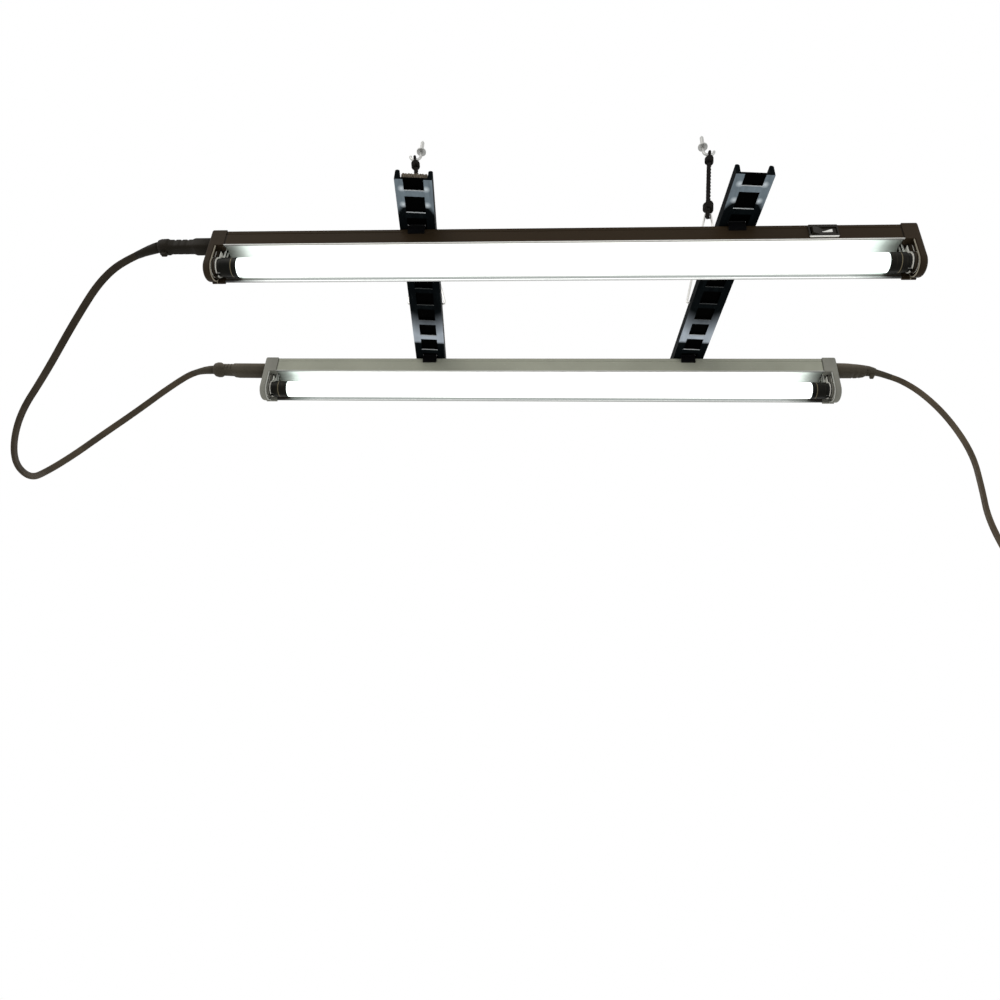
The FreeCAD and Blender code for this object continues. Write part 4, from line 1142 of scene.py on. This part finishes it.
class STRIPLIGHT_OT_bars(bpy.types.Operator):
    """Finish bars, clips, hooks and bails, and wind up the cord between the left bar's ears"""
    bl_idname = "striplight.bars"
    bl_label = "Bars, clips, hooks and bails"

    def execute(self, context):
        keep("bars")
        keep("hardware")
        wrap = rope(wrap_line("left"), ALONG_X, WRAP_WIDTH * MM, WRAP_LAY * MM)
        piece("bar_wrap_left", wrap, "rope_fibre", "luminaire", material="bar_wrap_fibre")
        return {"FINISHED"}


# Stage

def area_light(name, place, size, power, colour):
    """A square light that looks at the middle of the object."""
    data = bpy.data.lights.new(name, "AREA")
    data.energy, data.size, data.color = power, size, colour
    obj = placed(name, data)
    obj.location = place
    towards = Vector((0, 0, -0.25)) - Vector(place)
    obj.rotation_euler = towards.to_track_quat("-Z", "Y").to_euler()


def make_camera(scene):
    """The photograph's camera, whose place and focal length were fitted to the strips' and bars' edges."""
    yaw, pitch, roll = -0.0735285, 0.4968283, 0.0478979
    from_near_strip = Vector((-1.92181, -433.0647, -473.2362)) * MM
    focal_pixels, picture_pixels, sensor = 750.618, 1000, 36.0
    ahead = Vector((math.sin(yaw) * math.cos(pitch), math.cos(yaw) * math.cos(pitch), math.sin(pitch)))
    level = Vector((math.cos(yaw), -math.sin(yaw), 0))
    upright = level.cross(ahead)
    right = level * math.cos(roll) + upright * math.sin(roll)
    up = upright * math.cos(roll) - level * math.sin(roll)
    data = bpy.data.cameras.new("camera")
    data.sensor_width, data.lens = sensor, sensor * focal_pixels / picture_pixels
    data.clip_start, data.clip_end = 0.01, 100.0
    camera = placed("camera", data)
    turn = Matrix((right, up, -ahead)).transposed().to_4x4()
    camera.matrix_world = Matrix.Translation(from_near_strip + STRIP_AT["near"]) @ turn
    scene.camera = camera


def make_world(scene):
    """A pale room that lights the object, in front of a white backdrop."""
    scene.world = bpy.data.worlds.new("room")
    scene.world.use_nodes = True
    nodes = Nodes(scene.world.node_tree, "ShaderNodeOutputWorld")
    white = nodes.add("ShaderNodeBackground", {"Color": (1.0, 1.0, 1.0), "Strength": 1.0})
    light = nodes.add("ShaderNodeBackground", {"Color": (0.98, 0.99, 1.0), "Strength": 0.68})
    nodes.close(nodes.add("ShaderNodeMixShader", {0: nodes.backdrop(), 1: light, 2: white}))


def make_floor():
    half, z = 6, -1.15
    corners = [(-half, -half, z), (half, -half, z), (half, half, z), (-half, half, z)]
    mesh = bpy.data.meshes.new("floor")
    mesh.from_pydata(corners, [], [(0, 1, 2, 3)])
    floor = placed("floor", mesh)
    pale_floor("floor_pale")
    mesh.materials.append(FINISHES["floor_pale"])


class STRIPLIGHT_OT_stage(bpy.types.Operator):
    """Set the camera, the light and the floor"""
    bl_idname = "striplight.stage"
    bl_label = "Camera, light and floor"

    def execute(self, context):
        scene = context.scene
        scene.view_settings.view_transform = "Standard"
        make_camera(scene)
        make_world(scene)
        area_light("key", (-1.2, -1.6, 0.9), 1.6, 14.0, (1.0, 0.98, 0.95))
        area_light("fill", (1.6, -1.0, -0.6), 1.8, 6.0, (0.95, 0.98, 1.0))
        area_light("rim", (0.4, 1.8, 0.6), 1.6, 9.0, (1.0, 1.0, 1.0))
        make_floor()
        return {"FINISHED"}


class STRIPLIGHT_PT_panel(bpy.types.Panel):
    """Lists the sizes and colours, and the pieces in the order in which they are made"""
    bl_label = "Strip light"
    bl_idname = "STRIPLIGHT_PT_panel"
    bl_space_type = "VIEW_3D"
    bl_region_type = "UI"
    bl_category = "Strip light"

    def draw(self, context):
        layout = self.layout
        for group in (sizes(), colours()):
            for key in group.bl_rna.properties.keys():
                if key not in ("rna_type", "name"):
                    layout.prop(group, key)
        for operator in OPERATORS:
            layout.operator(operator.bl_idname)


OPERATORS = (STRIPLIGHT_OT_stage, STRIPLIGHT_OT_cords, STRIPLIGHT_OT_suspension, STRIPLIGHT_OT_strips,
             STRIPLIGHT_OT_lamps, STRIPLIGHT_OT_switch, STRIPLIGHT_OT_bars)
CLASSES = (StripLightSizes, StripLightColours) + OPERATORS + (STRIPLIGHT_PT_panel,)


def register():
    for cls in CLASSES:
        bpy.utils.register_class(cls)
    bpy.types.Scene.strip_light_sizes = bpy.props.PointerProperty(type=StripLightSizes)
    bpy.types.Scene.strip_light_colours = bpy.props.PointerProperty(type=StripLightColours)


def unregister():
    del bpy.types.Scene.strip_light_colours
    del bpy.types.Scene.strip_light_sizes
    for cls in reversed(CLASSES):
        bpy.utils.unregister_class(cls)


def main():
    register()
    make_finishes()
    bpy.ops.striplight.stage()
    bpy.ops.striplight.cords()
    bpy.ops.striplight.suspension()
    bpy.ops.striplight.strips()
    bpy.ops.striplight.lamps()
    bpy.ops.striplight.switch()
    bpy.ops.striplight.bars()


if __name__ == "__main__":
    main()
